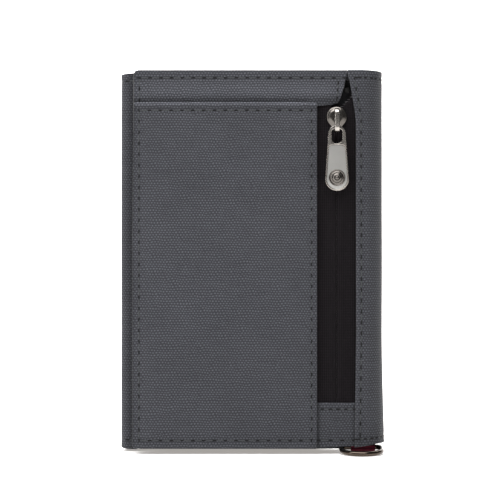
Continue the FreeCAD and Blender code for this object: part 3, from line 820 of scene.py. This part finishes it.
def shell_top(s):
    """The top edge dips a little round the spine, and at the open edge's corner."""
    rolled = np.interp(s - ARC_LENGTH - FLAT_FRONT, [-3.0, EDGE_RUN / 2, EDGE_RUN + 2.6], [0.0, 0.6, 0.1])
    return TOP - 0.15 * math.exp(-((s - ARC_LENGTH / 2) / 6.0) ** 2) - float(rolled)


def top_seam_at(s):
    return shell_top(s) - STITCH_IN


def foot_seam_at(s):
    """The foot's topstitching runs nearly level round the spine."""
    if s < ARC_LENGTH:
        return float(np.interp(s, [-2.0, 7.0, ARC_LENGTH], [5.0, 5.4, 5.6]))
    return shell_foot(s) + FOOT_SEAM_IN


def strip_edge(z):
    """s of the folded edge beside the zip; it leans towards the pocket near the top."""
    x = np.interp(z, [0, 40, 110, 113.7, 118.3, 123.6, 125.2, 127.5],
                  [33.9, 34.4, 34.3, 33.9, 33.1, 32.2, 31.6, 31.5])
    return x - ARC_X


def flare(z):
    """The spine leans out a little towards the foot."""
    return 0.9 * np.clip((40.0 - z) / 40.0, 0, 1) ** 1.6


def shell_piece(name, start, end, body, step, fold_start=False, fold_end=False, node=(), blend=None,
                thickness=SHELL, face=0.0, material=None, lift=None, tone=None):
    """A closed sheet of the shell from s = start to s = end; start may depend on z.

    face is how far the sheet's outer side lies inside the shell's outer face.
    """
    start_at = steady(start)
    run = end - float(start_at(60.0))
    edge = thickness / 2
    across = spaced(run, step, edge) / run
    up = spaced(TOP, 1.0, edge) / TOP
    rows, cols = len(up), len(across)
    outer, inner, cloth, shade = [], [], [], []
    for b in up:
        for a in across:
            s0 = float(start_at(b * TOP))
            s = s0 + a * (end - s0)
            low, high = shell_foot(s), shell_top(s)
            z = low + b * (high - low)
            s0 = float(start_at(z))
            s = s0 + a * (end - s0)
            x, y, out_x, out_y = shell_at(s)
            height = float(fold(b * (high - low), edge) * fold((1 - b) * (high - low), edge))
            if fold_start:
                height *= float(fold(a * (end - s0), edge))
            if fold_end:
                height *= float(fold((1 - a) * (end - s0), edge))
            more = lift(s, z) if lift else 0.0
            spread = flare(z) * max(0.0, out_x)
            for side, points in ((1, outer), (-1, inner)):
                off = -face - thickness / 2 + side * height * thickness / 2 + more + spread
                points.append((x + out_x * off, y + out_y * off, z))
            cloth.append((s, z))
            shade.append(float(tone(s, z)) if tone else 0.0)
    count = rows * cols
    faces = quads(rows, cols)
    faces += [tuple(count + i for i in f[::-1]) for f in faces]
    rim = [*range(cols), *range(2 * cols - 1, count, cols), *range(count - 2, count - cols - 1, -1),
           *range(count - 2 * cols, 0, -cols)]
    faces += [(p, q, count + q, count + p) for p, q in zip(rim, rim[1:] + rim[:1])]
    piece = make(name, outer + inner, faces, material or GREY, None if blend else body, np.array(cloth * 2),
                 np.array(shade * 2))
    if blend:
        cross_fold(piece, *blend)
    if node:
        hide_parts(*node)
    return piece


def cross_fold(piece, first, second, start, end):
    """Bakes the piece's placement into its mesh; the spine's points at s = start and s = end are worked out
    but not used.
    """
    low, high = shell_at(start), shell_at(end)
    to_frame((low[0], low[1], 60.0))
    to_frame((high[0], high[1], 60.0))
    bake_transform(piece)


def shell_relief(s, z):
    """Topstitching beside the zip, along the top and along the foot, and the cloth's slow unevenness."""
    top_seam, foot_seam = z - top_seam_at(s), z - foot_seam_at(s)
    lift = seam_dip(s, top_seam) + seam_dip(s, foot_seam)
    if s < 4:
        lift += seam_dip(z, s - (strip_edge(z) + BESIDE_ZIP))
    return float(lift + 0.6 * ripple(s, z))


def shell_painted_shading(s, z):
    """Painted shade: darker than the pocket and more so round the spine, darker in the seams and into the
    valley at the open edge, with a painted highlight along the fold beside the zip.
    """
    top_seam, foot_seam = z - top_seam_at(s), z - foot_seam_at(s)
    tone = -0.10 - 0.14 * float(np.clip((s - 2.0) / 5.0, 0, 1))
    tone -= 0.10 * near(top_seam) + 0.14 * near(foot_seam)
    if s < 4:
        beside = s - strip_edge(z)
        tone += 0.12 * near(beside - 0.3, 0.4) - 0.16 * near(beside - BESIDE_ZIP)
    if s > ROLL_END - 4:
        tone -= 0.4 * float(np.clip((s - ROLL_END + 0.6) / 2.2, 0, 1)) - 0.06
    return tone


COVER_SIZE = (FLAT_FRONT - 2.0, TOP)


def cover_sewn(x, z):
    return (x < 3.4) | (x > COVER_SIZE[0] - 1.2) | (z < 4.2) | (z > TOP - 3.2)


COVER_BULGE = bulge((0.0, 0.0), COVER_SIZE, cover_sewn, spare=0.003, push=0.8, most=0.8)


def front_relief(s, z):
    """The cover bulges over its foam between the topstitching."""
    across = s - ARC_LENGTH
    if 0 < across < COVER_SIZE[0]:
        return shell_relief(s, z) + float(COVER_BULGE(np.float64(across), np.float64(z)))
    return shell_relief(s, z)


def shell_place(s, z):
    """Where a stitch at (s, z) lies on the shell, for stitches()."""
    x, y, out_x, out_y = shell_at(s)
    spread = flare(z) * max(0.0, out_x)
    outward = np.array([out_x, out_y, 0.0])
    point = np.array([x, y, z]) + outward * (spread + front_relief(s, z))
    return point, outward, np.array([-out_y, out_x, 0.0]), np.array([0, 0, 1.0])


def seam_on_shell(name, start, end, body, blend=None, pitch=STITCH_PITCH):
    """Stitches along the shell's top and foot between two values of s."""
    lines = [((start, seam(start)), (end, seam(end)), 0) for seam in (top_seam_at, foot_seam_at)]
    made = stitches(name, lines, None if blend else body, place=shell_place, pitch=pitch)
    if blend:
        for piece in made:
            cross_fold(piece, *blend)


SPINE_BODIES = ("back", "spine_a", "spine_b", "spine_c", "front")


def spine_and_front():
    shell_piece("zip_strip_cloth", strip_edge, 0.0, "back", 0.5, fold_start=True, node=("zip_side_strip",),
                lift=shell_relief, tone=shell_painted_shading)
    bends = [(strip_edge(z) + BESIDE_ZIP, z) for z in (6.5, 40, 76, 110, 117.2, 124.0)]
    beside = [(low, high, 0) for low, high in zip(bends, bends[1:])]
    stitches("zip_strip_stitches", beside, "back", place=shell_place)
    seam_on_shell("strip_end_stitches", strip_edge(5.0) + 0.6, -0.2, "back", pitch=1.5)
    quarter = ARC_LENGTH / 4
    for k, letter in enumerate("abcd"):
        start, end = k * quarter, (k + 1) * quarter
        fold_line = (SPINE_BODIES[k], SPINE_BODIES[k + 1], start, end)
        shell = (f"spine_shell_{letter}",) if letter != "d" else ()
        lining = (f"spine_lining_{letter}",) if letter != "d" else ()
        shell_piece(f"spine_cloth_{letter}", start, end, None, 0.45, blend=fold_line, node=shell,
                    lift=shell_relief, tone=shell_painted_shading)
        shell_piece(f"spine_lining_cloth_{letter}", start, end, None, 0.6, blend=fold_line, node=lining,
                    thickness=0.3, face=1.1, material=LINING)
        seam_on_shell(f"spine_stitches_{letter}", start, end, None, blend=fold_line, pitch=2.1)
    shell_piece("front_cloth", ARC_LENGTH, FRONT_END, "front", 0.9, fold_end=True,
                node=("front_shell", "front_edge_fold"), lift=front_relief, tone=shell_painted_shading)
    last_flat = ARC_LENGTH + FLAT_FRONT - 0.5
    corner = ARC_LENGTH + ARC_X - FRONT_FOOT_X[1]
    low_corner = ARC_LENGTH + ARC_X - FRONT_FOOT_X[0]
    for word, start, end in (("spine", ARC_LENGTH, corner), ("corner", corner, low_corner),
                             ("flat", low_corner, last_flat)):
        seam_on_shell(f"front_stitches_{word}", start, end, "front")
    seam_on_shell("front_stitches_rolled", FRONT_END - 3.4, FRONT_END - 0.6, "front", pitch=2.8)
    edge_row = ((last_flat, 5.0), (last_flat, TOP - 4.0), 0)
    stitches("front_stitches_edge", [edge_row], "front", place=shell_place)


# ---------------------------------------------------------------- zip
SLIDER_MID_Z = (SLIDER_LOW[2] + SLIDER_HIGH[2]) / 2
SPLIT_Z = SLIDER_HIGH[2] - 2.0
TAPE_FOOT, TAPE_HEAD = TAPE_LOW[2], TAPE_HIGH[2]
TAPE_WIDE = TAPE_HIGH[0] - ZIP_X
TOOTH_PITCH = 0.8
TAPE_LAP = 0.4                    # the upper and lower tapes run into each other under the slider
COIL_REACH = 0.5                  # how far the coil's heads stand past the tape's edge
LOOP_DEPTH = 0.42                 # each turn's two legs lie this far before and behind the coil's middle
NYLON_HALF, BULB_HALF = (0.17, 0.2), (0.62, 0.19, 0.24)
SIDES = ((-1, "left"), (1, "right"))


def split(z):
    """How far each tape's edge has parted from the seam at height z."""
    return np.clip((z - SPLIT_Z) * 0.98, 0, 5.6) + 0.04


def zip_place(side, z, inward):
    """x of a point on one tape, measured from that tape's inner edge towards its outer edge."""
    return ZIP_X + side * (split(z) + inward)


def follow_slider(piece, upper):
    """Bakes the chain's placement into its mesh; the points at its start and at the slider's middle are
    worked out but not used.
    """
    start_z = TAPE_HEAD if upper else COIL_LOW[2] + 2.0
    to_frame((ZIP_X, 0, start_z))
    to_frame((ZIP_X, 0, SLIDER_MID_Z))
    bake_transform(piece)


def zip_chain():
    y = (TAPE_LOW[1], TAPE_HIGH[1])
    for side, word in SIDES:
        def inner(z, side=side):
            return zip_place(side, z, 0.0)
        outer = ZIP_X + side * TAPE_WIDE
        for upper, part in ((False, "low"), (True, "high")):
            foot = SLIDER_MID_Z - TAPE_LAP if upper else TAPE_FOOT
            top = TAPE_HEAD if upper else SLIDER_MID_Z + TAPE_LAP
            left, right = (outer, inner) if side < 0 else (inner, outer)
            tape = panel(f"zip_tape_{word}_{part}", left, right, foot, top, y, TAPE, None, (0.5, 0.8),
                         tape_relief)
            follow_slider(tape, upper)
            teeth = coil_teeth(f"zip_coil_{word}_{part}", side, foot, min(top, COIL_HIGH[2]))
            follow_slider(teeth, upper)
            if not upper:
                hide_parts(f"zip_tape_{word}")
                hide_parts(f"zip_coil_{word}")
    for _, word in SIDES:
        stand_in(f"zip_top_stop_clamp_{word}", f"zip_top_stop_{word}", LACQUER, "back", 0.3, 0.4)
    stand_in("zip_bottom_stop_clamp", "zip_bottom_stop", NICKEL, "back", 0.4, 0.5)


def tape_relief(x, z):
    """The tape rises slightly to the seam, where it wraps over the coil, with a groove at the middle."""
    from_seam = np.abs(x - ZIP_X)
    return 0.22 * near(from_seam - 1.6, 1.1) - 0.12 * near(from_seam, 0.35) + 0.03 * np.sin(z / 6.0)


def coil_teeth(name, side, foot, top):
    """One half of the coil: each turn is a loop of nylon across the tape's edge with a bulb at its head."""
    shape = verts, faces, cloth = [], [], []
    half_step = 0.0 if side < 0 else 0.5
    first = int(math.ceil((foot - COIL_LOW[2]) / TOOTH_PITCH))
    last = int(math.floor((top - COIL_LOW[2]) / TOOTH_PITCH))
    for k in range(first, last + 1):
        z = COIL_LOW[2] + (k + half_step) * TOOTH_PITCH
        if not foot <= z <= top:
            continue
        root, head = zip_place(side, z, 1.7), zip_place(side, z, -COIL_REACH)
        y = (COIL_LOW[1] + COIL_HIGH[1]) / 2
        for depth in (-LOOP_DEPTH, LOOP_DEPTH):
            loop_half = (abs(root - head) / 2, *NYLON_HALF)
            pellet(((root + head) / 2, y + depth, z), (1, 0, 0), (0, -1, 0), loop_half, *shape)
        pellet((head, y, z), (0, 1, 0), (-side, 0, 0), BULB_HALF, *shape, rings=4)
    return make(name, verts, faces, COIL, None, np.array(cloth))


# ---------------------------------------------------------------- slider and pull
def capsule_outline(low, high, inset, count=20):
    """Points round two circles (z, radius) and their tangents, drawn in by inset."""
    (z0, r0), (z1, r1) = low, high
    lean = math.degrees(math.asin((r0 - r1) / (z1 - z0)))
    r0, r1 = max(r0 - inset, 0.02), max(r1 - inset, 0.02)
    upper = [(ZIP_X + p, q) for p, q in arc((0, z1), r1, lean, 180 - lean, count)]
    lower = [(ZIP_X + p, q) for p, q in arc((0, z0), r0, 180 - lean, 360 + lean, count)]
    return upper + lower


def domed(name, outline, profile, material, body):
    """A plate built of rings: profile is a list of (inset, y), from its back edge to its middle."""
    verts = [(x, y, z) for inset, y in profile for x, z in outline(inset)]
    rows, cols = len(profile), len(outline(0.0))
    faces = quads(rows, cols, close_cols=True)
    faces += [tuple(range(cols)), tuple((rows - 1) * cols + c for c in range(cols))]
    return make(name, verts, faces, material, body, np.array(verts)[:, [0, 2]])


def bevelled(inner_y, outer_y, radius, dome, reach, count=5):
    """Profile for domed(): a flat back, a round shoulder at the front and a low dome inside it."""
    points = [(0.25 * radius, inner_y), (0.0, inner_y - 0.25 * radius)]
    for k in range(count + 1):
        t = math.pi / 2 * k / count
        points.append((radius * (1 - math.cos(t)), outer_y + radius * (1 - math.sin(t))))
    for k in range(1, count + 1):
        t = k / count
        points.append((radius + (reach - radius) * t, outer_y - dome * math.sin(math.pi / 2 * t)))
    return points


SLIDER_ROUND_R = (SLIDER_HIGH[0] - SLIDER_LOW[0]) / 2
SLIDER_ROUND = (SLIDER_HIGH[2] - SLIDER_ROUND_R, SLIDER_ROUND_R)
SLIDER_NOSE = (SLIDER_LOW[2] + 1.9, 1.9)
PLATE = 1.1                       # thickness of the slider's front plate
SLIDER_BACK = 0.9                 # and of its rear plate
STRAP, STRAP_TURN = 0.8, 1.3      # the bail's thickness and the bends' radius
STRAP_ROUND = 0.38


def slider():
    """Crown and rear plate on a post, with a flange at each side and the bail that holds the pull."""
    def outline(inset):
        return capsule_outline(SLIDER_NOSE, SLIDER_ROUND, inset)
    front, back = SLIDER_LOW[1], SLIDER_HIGH[1]
    middle, rear_face = SLIDER_ROUND[0], back - SLIDER_BACK
    dome = bevelled(front + PLATE, front, 0.7, dome=0.42, reach=1.85)
    crown = domed("slider_crown", outline, dome, DARK_NICKEL, "zip_slider")
    rear = [(0.1, rear_face), (0.0, rear_face + 0.1), (0.0, back - 0.25), (0.1, back - 0.08), (0.3, back),
            (1.6, back)]
    domed("slider_rear_plate", outline, rear, DARK_NICKEL, "zip_slider")
    panel("slider_post", ZIP_X - 0.35, ZIP_X + 0.35, middle + 0.1, middle + 3.0,
          (front + PLATE - 0.1, rear_face + 0.1), NICKEL, "zip_slider", 0.3)
    for side, word in SIDES:
        left, right = sorted((ZIP_X + side * 2.5, ZIP_X + side * 3.1))
        panel(f"slider_flange_{word}", left, right, middle - 1.2, middle + 1.2,
              (rear_face - 0.9, rear_face + 0.1), NICKEL, "zip_slider", 0.3)
    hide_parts("slider_body")
    half = STRAP / 2
    low, high, out = BAIL_LOW[2] + half, BAIL_HIGH[2] - half, BAIL_LOW[1] + half
    path = [(front + 0.35, low), *arc((out + STRAP_TURN, low + STRAP_TURN), STRAP_TURN, 270, 180, 8)]
    path += [(out, (low + high) / 2), *arc((out + STRAP_TURN, high - STRAP_TURN), STRAP_TURN, 180, 90, 8)]
    path += [(front + 0.35, high)]
    wide = BAIL_HIGH[0] - BAIL_LOW[0]
    bail = sweep("slider_bail_strap", path, round_rect((-half, half), (-wide / 2, wide / 2), STRAP_ROUND),
                 lambda p, q, v: (ZIP_X + v, p, q), NICKEL, "zip_slider")
    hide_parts("slider_bail")


TAB_FOOT_R = (TAB_HIGH[0] - TAB_LOW[0]) / 2
TAB_FOOT = (TAB_LOW[2] + TAB_FOOT_R, TAB_FOOT_R)
TAB_HEAD = (TAB_HIGH[2] - 2.85, 2.85)
TAB_BORDER = 0.44                 # width of the rim round the sunk panel
TAB_ARC = 28                      # points on each of its two round ends
EYE_HALF, EYE_FOOT, EYE_TOP, EYE_CORNER = 1.8, 102.5, 107.3, 0.9
PANEL_TOP = 101.3
SHARP_FROM = math.radians(40)     # edges that turn more than this stay crisp
# (inset, height) up the medallion's raised border and down into the groove inside it
MEDALLION_STEPS = ((0.0, 0.0), (0.0, 0.22), (0.08, 0.36), (0.22, 0.42), (0.36, 0.36), (0.46, 0.2),
                   (0.56, 0.16), (0.66, 0.22))


def cut_plate(name, outlines, y, bevel, material):
    """A plate with round edges from closed outlines of (x, z) points; outlines inside the first are holes."""
    curve = bpy.data.curves.new(name + "_outline", "CURVE")
    curve.dimensions, curve.fill_mode = "2D", "BOTH"
    curve.extrude = (y[1] - y[0]) / 2 - bevel
    curve.bevel_depth, curve.bevel_resolution, curve.offset = bevel, 3, -bevel
    for points in outlines:
        line = curve.splines.new("POLY")
        line.points.add(len(points) - 1)
        for point, (px, pz) in zip(line.points, points):
            point.co = (px, pz, 0, 1)
        line.use_cyclic_u = True
    holder = bpy.data.objects.new(name + "_outline", curve)
    flat = bpy.data.meshes.new_from_object(holder)
    verts = np.array([v.co for v in flat.vertices])
    verts = np.stack([verts[:, 0], (y[0] + y[1]) / 2 - verts[:, 2], verts[:, 1]], 1)
    faces = [tuple(f.vertices) for f in flat.polygons]
    bpy.data.objects.remove(holder)
    bpy.data.curves.remove(curve)
    bpy.data.meshes.remove(flat)
    piece = make(name, verts, faces, material, "pull_tab", verts[:, [0, 2]])
    piece.data.set_sharp_from_angle(angle=SHARP_FROM)
    return piece


def low_eye_outline(eye):
    """The eye, slightly enlarged, for the plate behind the rim."""
    return [(ZIP_X + (x - ZIP_X) * 1.1, EYE_FOOT + (z - EYE_FOOT) * 1.03 - 0.1) for x, z in eye]


def below_lid(inset, top, arch):
    """The pull's outline, drawn in by inset, up to a line at that height that arches at its middle."""
    outline = capsule_outline(TAB_FOOT, TAB_HEAD, inset, TAB_ARC)
    (head_x, head_z), (foot_x, foot_z) = outline[0], outline[-1]
    side = foot_x + (head_x - foot_x) * (top - foot_z) / (head_z - foot_z) - ZIP_X
    lid = [(ZIP_X + side * math.cos(t), top + arch * math.sin(t)) for t in np.linspace(0, math.pi, 15)]
    return outline[TAB_ARC:] + lid


def pull():
    """Raised rim and eye over a thinner base, whose face is the sunk brushed panel."""
    outer = capsule_outline(TAB_FOOT, TAB_HEAD, 0.0, TAB_ARC)
    shoulder = EYE_HALF - EYE_CORNER, EYE_TOP - EYE_CORNER
    eye = arc(shoulder, EYE_CORNER, 0, 90, 6) + arc((-shoulder[0], shoulder[1]), EYE_CORNER, 90, 180, 6)
    eye += arc((0, EYE_FOOT + EYE_HALF), EYE_HALF, 180, 360, 16)
    eye = [(ZIP_X + p, q) for p, q in eye]
    recess = below_lid(TAB_BORDER, PANEL_TOP, 0.9)
    front, back = TAB_LOW[1], TAB_HIGH[1]
    rim = cut_plate("pull_rim", [outer, eye, recess], (front, back - 0.35), 0.15, NICKEL)
    # Dark gunmetal plate behind the rim's outline: painted shade and dark reflection on the pull's side
    # walls.
    cut_plate("pull_edge_shade", [below_lid(-0.08, EYE_FOOT - 0.4, 0.0)], (back - 0.5, back), 0.1, GUNMETAL)
    # Dark gunmetal plate between rim and panel: painted shade in that recess.
    groove = [capsule_outline(TAB_FOOT, TAB_HEAD, TAB_BORDER - 0.1, TAB_ARC), low_eye_outline(eye)]
    cut_plate("pull_groove_shade", groove, (front + 0.42, back - 0.3), 0.05, GUNMETAL)
    face = below_lid(TAB_BORDER + 0.07, PANEL_TOP - 0.08, 0.88)
    cut_plate("pull_panel", [face], (front + 0.26, back - 0.4), 0.06, BRUSHED)
    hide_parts("pull_tab")
    boss_z, radius = (BOSS_LOW[2] + BOSS_HIGH[2]) / 2, (BOSS_HIGH[0] - BOSS_LOW[0]) / 2
    seat, peak = front + 0.3, BOSS_LOW[1]

    def ring(inset):
        return [(ZIP_X + p, boss_z + q) for p, q in arc((0, 0), max(radius - inset, 0.02), 0, 352.5, 48)]
    steps = [(inset, seat - rise) for inset, rise in MEDALLION_STEPS]
    inner = radius - 0.7
    for t in np.linspace(0, 1, 17):
        wave = 0.07 * math.sin(5 * math.pi * t)
        rise = (seat - 0.24 - peak) * math.sin(math.pi / 2 * t)
        steps.append((radius - inner * (1 - t), seat - 0.24 - rise - wave))
    boss = domed("pull_medallion", ring, steps, DARK_NICKEL, "pull_tab")
    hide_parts("tab_medallion")


# ---------------------------------------------------------------- D-ring and webbing
WIRE = 0.85                       # the ring's wire, its radius
BOW_Y, RING_CORNER = -7.2, 1.6
PLY = 0.7                         # the webbing's thickness


def ring_and_webbing():
    """A D-ring whose bar lies in a loop of webbing sewn into the back leaf's foot."""
    ring_x = (RING_LOW[0] + RING_HIGH[0]) / 2
    half = (RING_HIGH[0] - RING_LOW[0]) / 2 - WIRE
    bar_y, bar_z = LOOP_LOW[1] + 1.7, LOOP_LOW[2] + 1.7
    path = arc((half - RING_CORNER, -RING_CORNER), RING_CORNER, 90, 0, 8)
    path += arc((0, BOW_Y - bar_y), half, 0, -180, 40)
    path += arc((-half + RING_CORNER, -RING_CORNER), RING_CORNER, 180, 90, 8)
    tilt = math.asin((bar_z - WIRE) / (bar_y - BOW_Y + half))
    section = [(WIRE * math.cos(t), WIRE * math.sin(t)) for t in np.linspace(0, 2 * math.pi, 17)[:-1]]

    def place(p, q, v):
        return (ring_x + p, bar_y + q * math.cos(tilt) - v * math.sin(tilt),
                bar_z + q * math.sin(tilt) + v * math.cos(tilt))
    ring = sweep("d_ring_wire", path, section, place, GUNMETAL, "ring", closed=True)
    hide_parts("d_ring")
    middle = WIRE + 0.12 + PLY / 2
    head = LOOP_HIGH[2]
    tail_front, tail_back = bar_y - middle + 1.6, bar_y + middle
    path = [(tail_front + 0.2, head), (tail_front + 0.2, bar_z + 4.0), (tail_front, bar_z + 3.0),
            (tail_front - 0.55, bar_z + 2.0)]
    path += arc((bar_y, bar_z), middle, 150, 360, 22)
    path += [(tail_back + 0.02, bar_z + 1.5), (tail_back - 0.15, bar_z + 3.0), (tail_back - 0.25, head)]
    wide = LOOP_HIGH[0] - LOOP_LOW[0]
    loop_x = (LOOP_LOW[0] + LOOP_HIGH[0]) / 2
    loop = sweep("webbing_loop", path, round_rect((-PLY / 2, PLY / 2), (-wide / 2, wide / 2), 0.3),
                 lambda p, q, v: (loop_x + v, p, q), WEBBING, "back")
    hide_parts("ring_webbing")


# ---------------------------------------------------------------- inside
def layer(name, node, material, body, hem=False, step=2.0, seams=()):
    """A hidden or inner sheet in the place of its CAD node, with a stitched hem where it has one."""
    low, high = node_box(node)
    facing = 1 if body == "back" else -1
    face_y = high[1] if facing > 0 else low[1]
    hem_z = high[2] - STITCH_IN
    lines = [((low[0] + 2.0, hem_z), (high[0] - 2.0, hem_z), face_y)] if hem else []
    lines += [(start, end, face_y) for start, end in seams]
    piece = stand_in(name, node, material, body, step, 1.5, lambda x, z: 0.4 * ripple(x, z, 0.04))
    if lines:
        stitches(name + "_stitches", lines, body, out=(0, facing, 0), proud=0.0)
    return piece


FRAME_SIDE, FRAME_END = 6.0, 8.0  # the window frame's widths
FRAME_SEAM = (4.4, 6.2)           # and its topstitching's distance in from the sides and the ends


def inner_layers():
    layer("coin_pocket_cloth", "coin_pocket_lining", LINING, "back")
    layer("back_stiffener", "back_interlining", FOAM, "back")
    layer("back_lining_cloth", "back_lining", LINING, "back")
    layer("front_foam", "front_padding", FOAM, "front", step=1.5)
    layer("front_lining_cloth", "front_lining", LINING, "front")
    layer("front_divider_cloth", "front_divider", LINING, "front", hem=True)
    for body in ("back", "front"):
        low, high = node_box(f"{body}_card_base")
        right = high[0] - 2.0
        layer(f"{body}_card_base_cloth", f"{body}_card_base", CARD, body, hem=True,
              seams=[((right, low[2] + 2.0), (right, high[2] - STITCH_IN))])
        for level in (1, 2, 3):
            node = f"{body}_card_slot_{level}"
            low, high = node_box(node)
            next_top = node_box(f"{body}_card_slot_{level + 1}")[1][2] if level < 3 else low[2] + 4.0
            seams = [((x, next_top), (x, high[2] - STITCH_IN)) for x in (low[0] + 2.0, high[0] - 2.0)]
            layer(f"{node}_cloth", node, CARD, body, hem=True, seams=seams)
    (left, front, foot), (right, back, top) = node_box("id_window_frame")
    ends = left + FRAME_SIDE - 0.2, right - FRAME_SIDE + 0.2
    for word, x0, x1, z0, z1 in (("left", left, left + FRAME_SIDE, foot, top),
                                 ("right", right - FRAME_SIDE, right, foot, top),
                                 ("foot", *ends, foot, foot + FRAME_END),
                                 ("top", *ends, top - FRAME_END, top)):
        strip = panel(f"id_window_border_{word}", x0, x1, z0, z1, (front, back), CARD, "front", 1.0,
                      corner=0.5)
        if word == "left":
            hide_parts("id_window_frame")
    in_x, in_z = FRAME_SEAM
    seam = [(left + in_x, foot + in_z), (right - in_x, foot + in_z), (right - in_x, top - in_z),
            (left + in_x, top - in_z)]
    stitches("id_window_stitches", [(seam[k], seam[(k + 1) % 4], front) for k in range(4)], "front")
    stand_in("id_window_film", "id_window", FILM, "front", 2.0, 1.0,
             lambda x, z: 0.05 * np.sin(x / 6) * np.cos(z / 9))


def in_plane(p, q, v):
    """A sweep's place for a path of (x, z) points."""
    return p, v, q


def leaf_edges():
    """Turned-in cloth that closes the leaves' edges between their outer and inner sheets."""
    right = node_box("back_seam_frame")[1][0]
    left, foot, top, turn = WALL_LOW[0] + 0.25, POCKET_FOOT + 0.4, TOP - 0.12, 1.6
    path = [(right, top), (0.0, top), *arc((left + turn, top - turn), turn, 90, 180, 7)]
    path += [(left, 60.0), *arc((left + turn, foot + turn), turn, 180, 270, 7)]
    path += [(0.0, foot), (22.0, foot), (34.0, 3.2), (right, 4.0)]
    section = round_rect((-3.0, 0.0), (WALL_HIGH[1] + 0.05, -1.9), 0.9)
    # The edge cloth is painted darker all over (tone -0.55): painted shade in the gaps between the leaves.
    piece = sweep("back_edge_cloth", path, section, in_plane, GREY, "back", tone=-0.55)
    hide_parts("back_seam_frame")
    left, foot, top = OPEN_EDGE_X + 3.4, 0.35, TOP - 0.35
    section = round_rect((-2.4, 0.0), (4.5, HALF - SHELL + 0.05), 0.8)
    for word, path in (("top", [(ARC_X, top), (0.0, top), (left, top)]),
                       ("foot", [(left, foot), (0.0, foot), (22.0, foot), (29.0, 2.7), (ARC_X, 2.7)])):
        sweep(f"front_edge_cloth_{word}", path, section, in_plane, GREY, "front")


# ---------------------------------------------------------------- stage
EYE_DISTANCE, SENSOR = 550.0, 36.0
EYE = np.array([-0.66, -HALF - EYE_DISTANCE, 67.5])     # camera's place before the back leaf
VIEW_WIDTH = 165.0                                      # seen at the back leaf
FLOOR_HALF, BEND_Y, BEND_RADIUS, WALL_TOP = 1.6, 0.5, 0.5, 1.6     # metres
# name, place, what it is aimed at, (width, height), watts
LAMPS = (("top_softbox", (-0.12, -0.35, 0.75), (0, 0, 0.05), (0.9, 0.6), 10.0),
         ("left_softbox", (-0.8, -0.45, 0.3), (0, 0, 0.06), (0.16, 0.8), 2.2),
         ("backdrop_light", (0.0, 0.5, 0.9), (0, 0.95, 0.4), (1.6, 0.5), 18.0))


def stage():
    """Camera, pale floor that curves up behind, even world light and three soft lamps."""
    camera = bpy.data.cameras.new("camera")
    camera.sensor_width = SENSOR
    camera.lens = SENSOR * EYE_DISTANCE / VIEW_WIDTH
    camera.clip_start, camera.clip_end = 0.01, 50.0
    eye = placed("camera", camera)
    eye.location = to_frame(EYE)
    eye.rotation_euler = (math.pi / 2, 0, 0)
    bpy.context.scene.camera = eye

    white = Shader("white_floor", Roughness=0.9, Specular_IOR_Level=0.1, Emission_Color=(1, 0.95, 0.9, 1),
                   Emission_Strength=0.36)
    white.colour(white.ramp(white.noise(0.01), [(0.3, (0.93, 0.93, 0.93, 1)), (0.7, (0.95, 0.95, 0.95, 1))]))
    profile = [(-FLOOR_HALF, 0.0), (BEND_Y, 0.0)]
    profile += [(BEND_Y + BEND_RADIUS * math.sin(t), BEND_RADIUS * (1 - math.cos(t)))
                for t in np.linspace(0, math.pi / 2, 16)]
    profile += [(BEND_Y + BEND_RADIUS, WALL_TOP)]
    mesh = bpy.data.meshes.new("floor")
    verts = [(x, y, z) for y, z in profile for x in (-FLOOR_HALF, FLOOR_HALF)]
    mesh.from_pydata(verts, [], quads(len(profile), 2))
    mesh.polygons.foreach_set("use_smooth", [True] * len(mesh.polygons))
    mesh.materials.append(white.material)
    floor = placed("floor", mesh)

    world = bpy.data.worlds.new("studio")
    world.use_nodes = True
    background = world.node_tree.nodes["Background"].inputs
    background["Color"].default_value = (1, 1, 1, 1)
    background["Strength"].default_value = 0.11
    bpy.context.scene.world = world
    bpy.context.scene.view_settings.view_transform = "Standard"
    for name, place, aim, size, power in LAMPS:
        lamp = bpy.data.lights.new(name, "AREA")
        lamp.shape, lamp.size, lamp.size_y, lamp.energy = "RECTANGLE", size[0], size[1], power
        holder = placed(name, lamp)
        holder.location = place
        holder.rotation_euler = (Vector(aim) - Vector(place)).to_track_quat("-Z", "Y").to_euler()


slip_pocket()
pocket_wall()
zip_band()
spine_and_front()
zip_chain()
slider()
pull()
ring_and_webbing()
inner_layers()
leaf_edges()
stage()
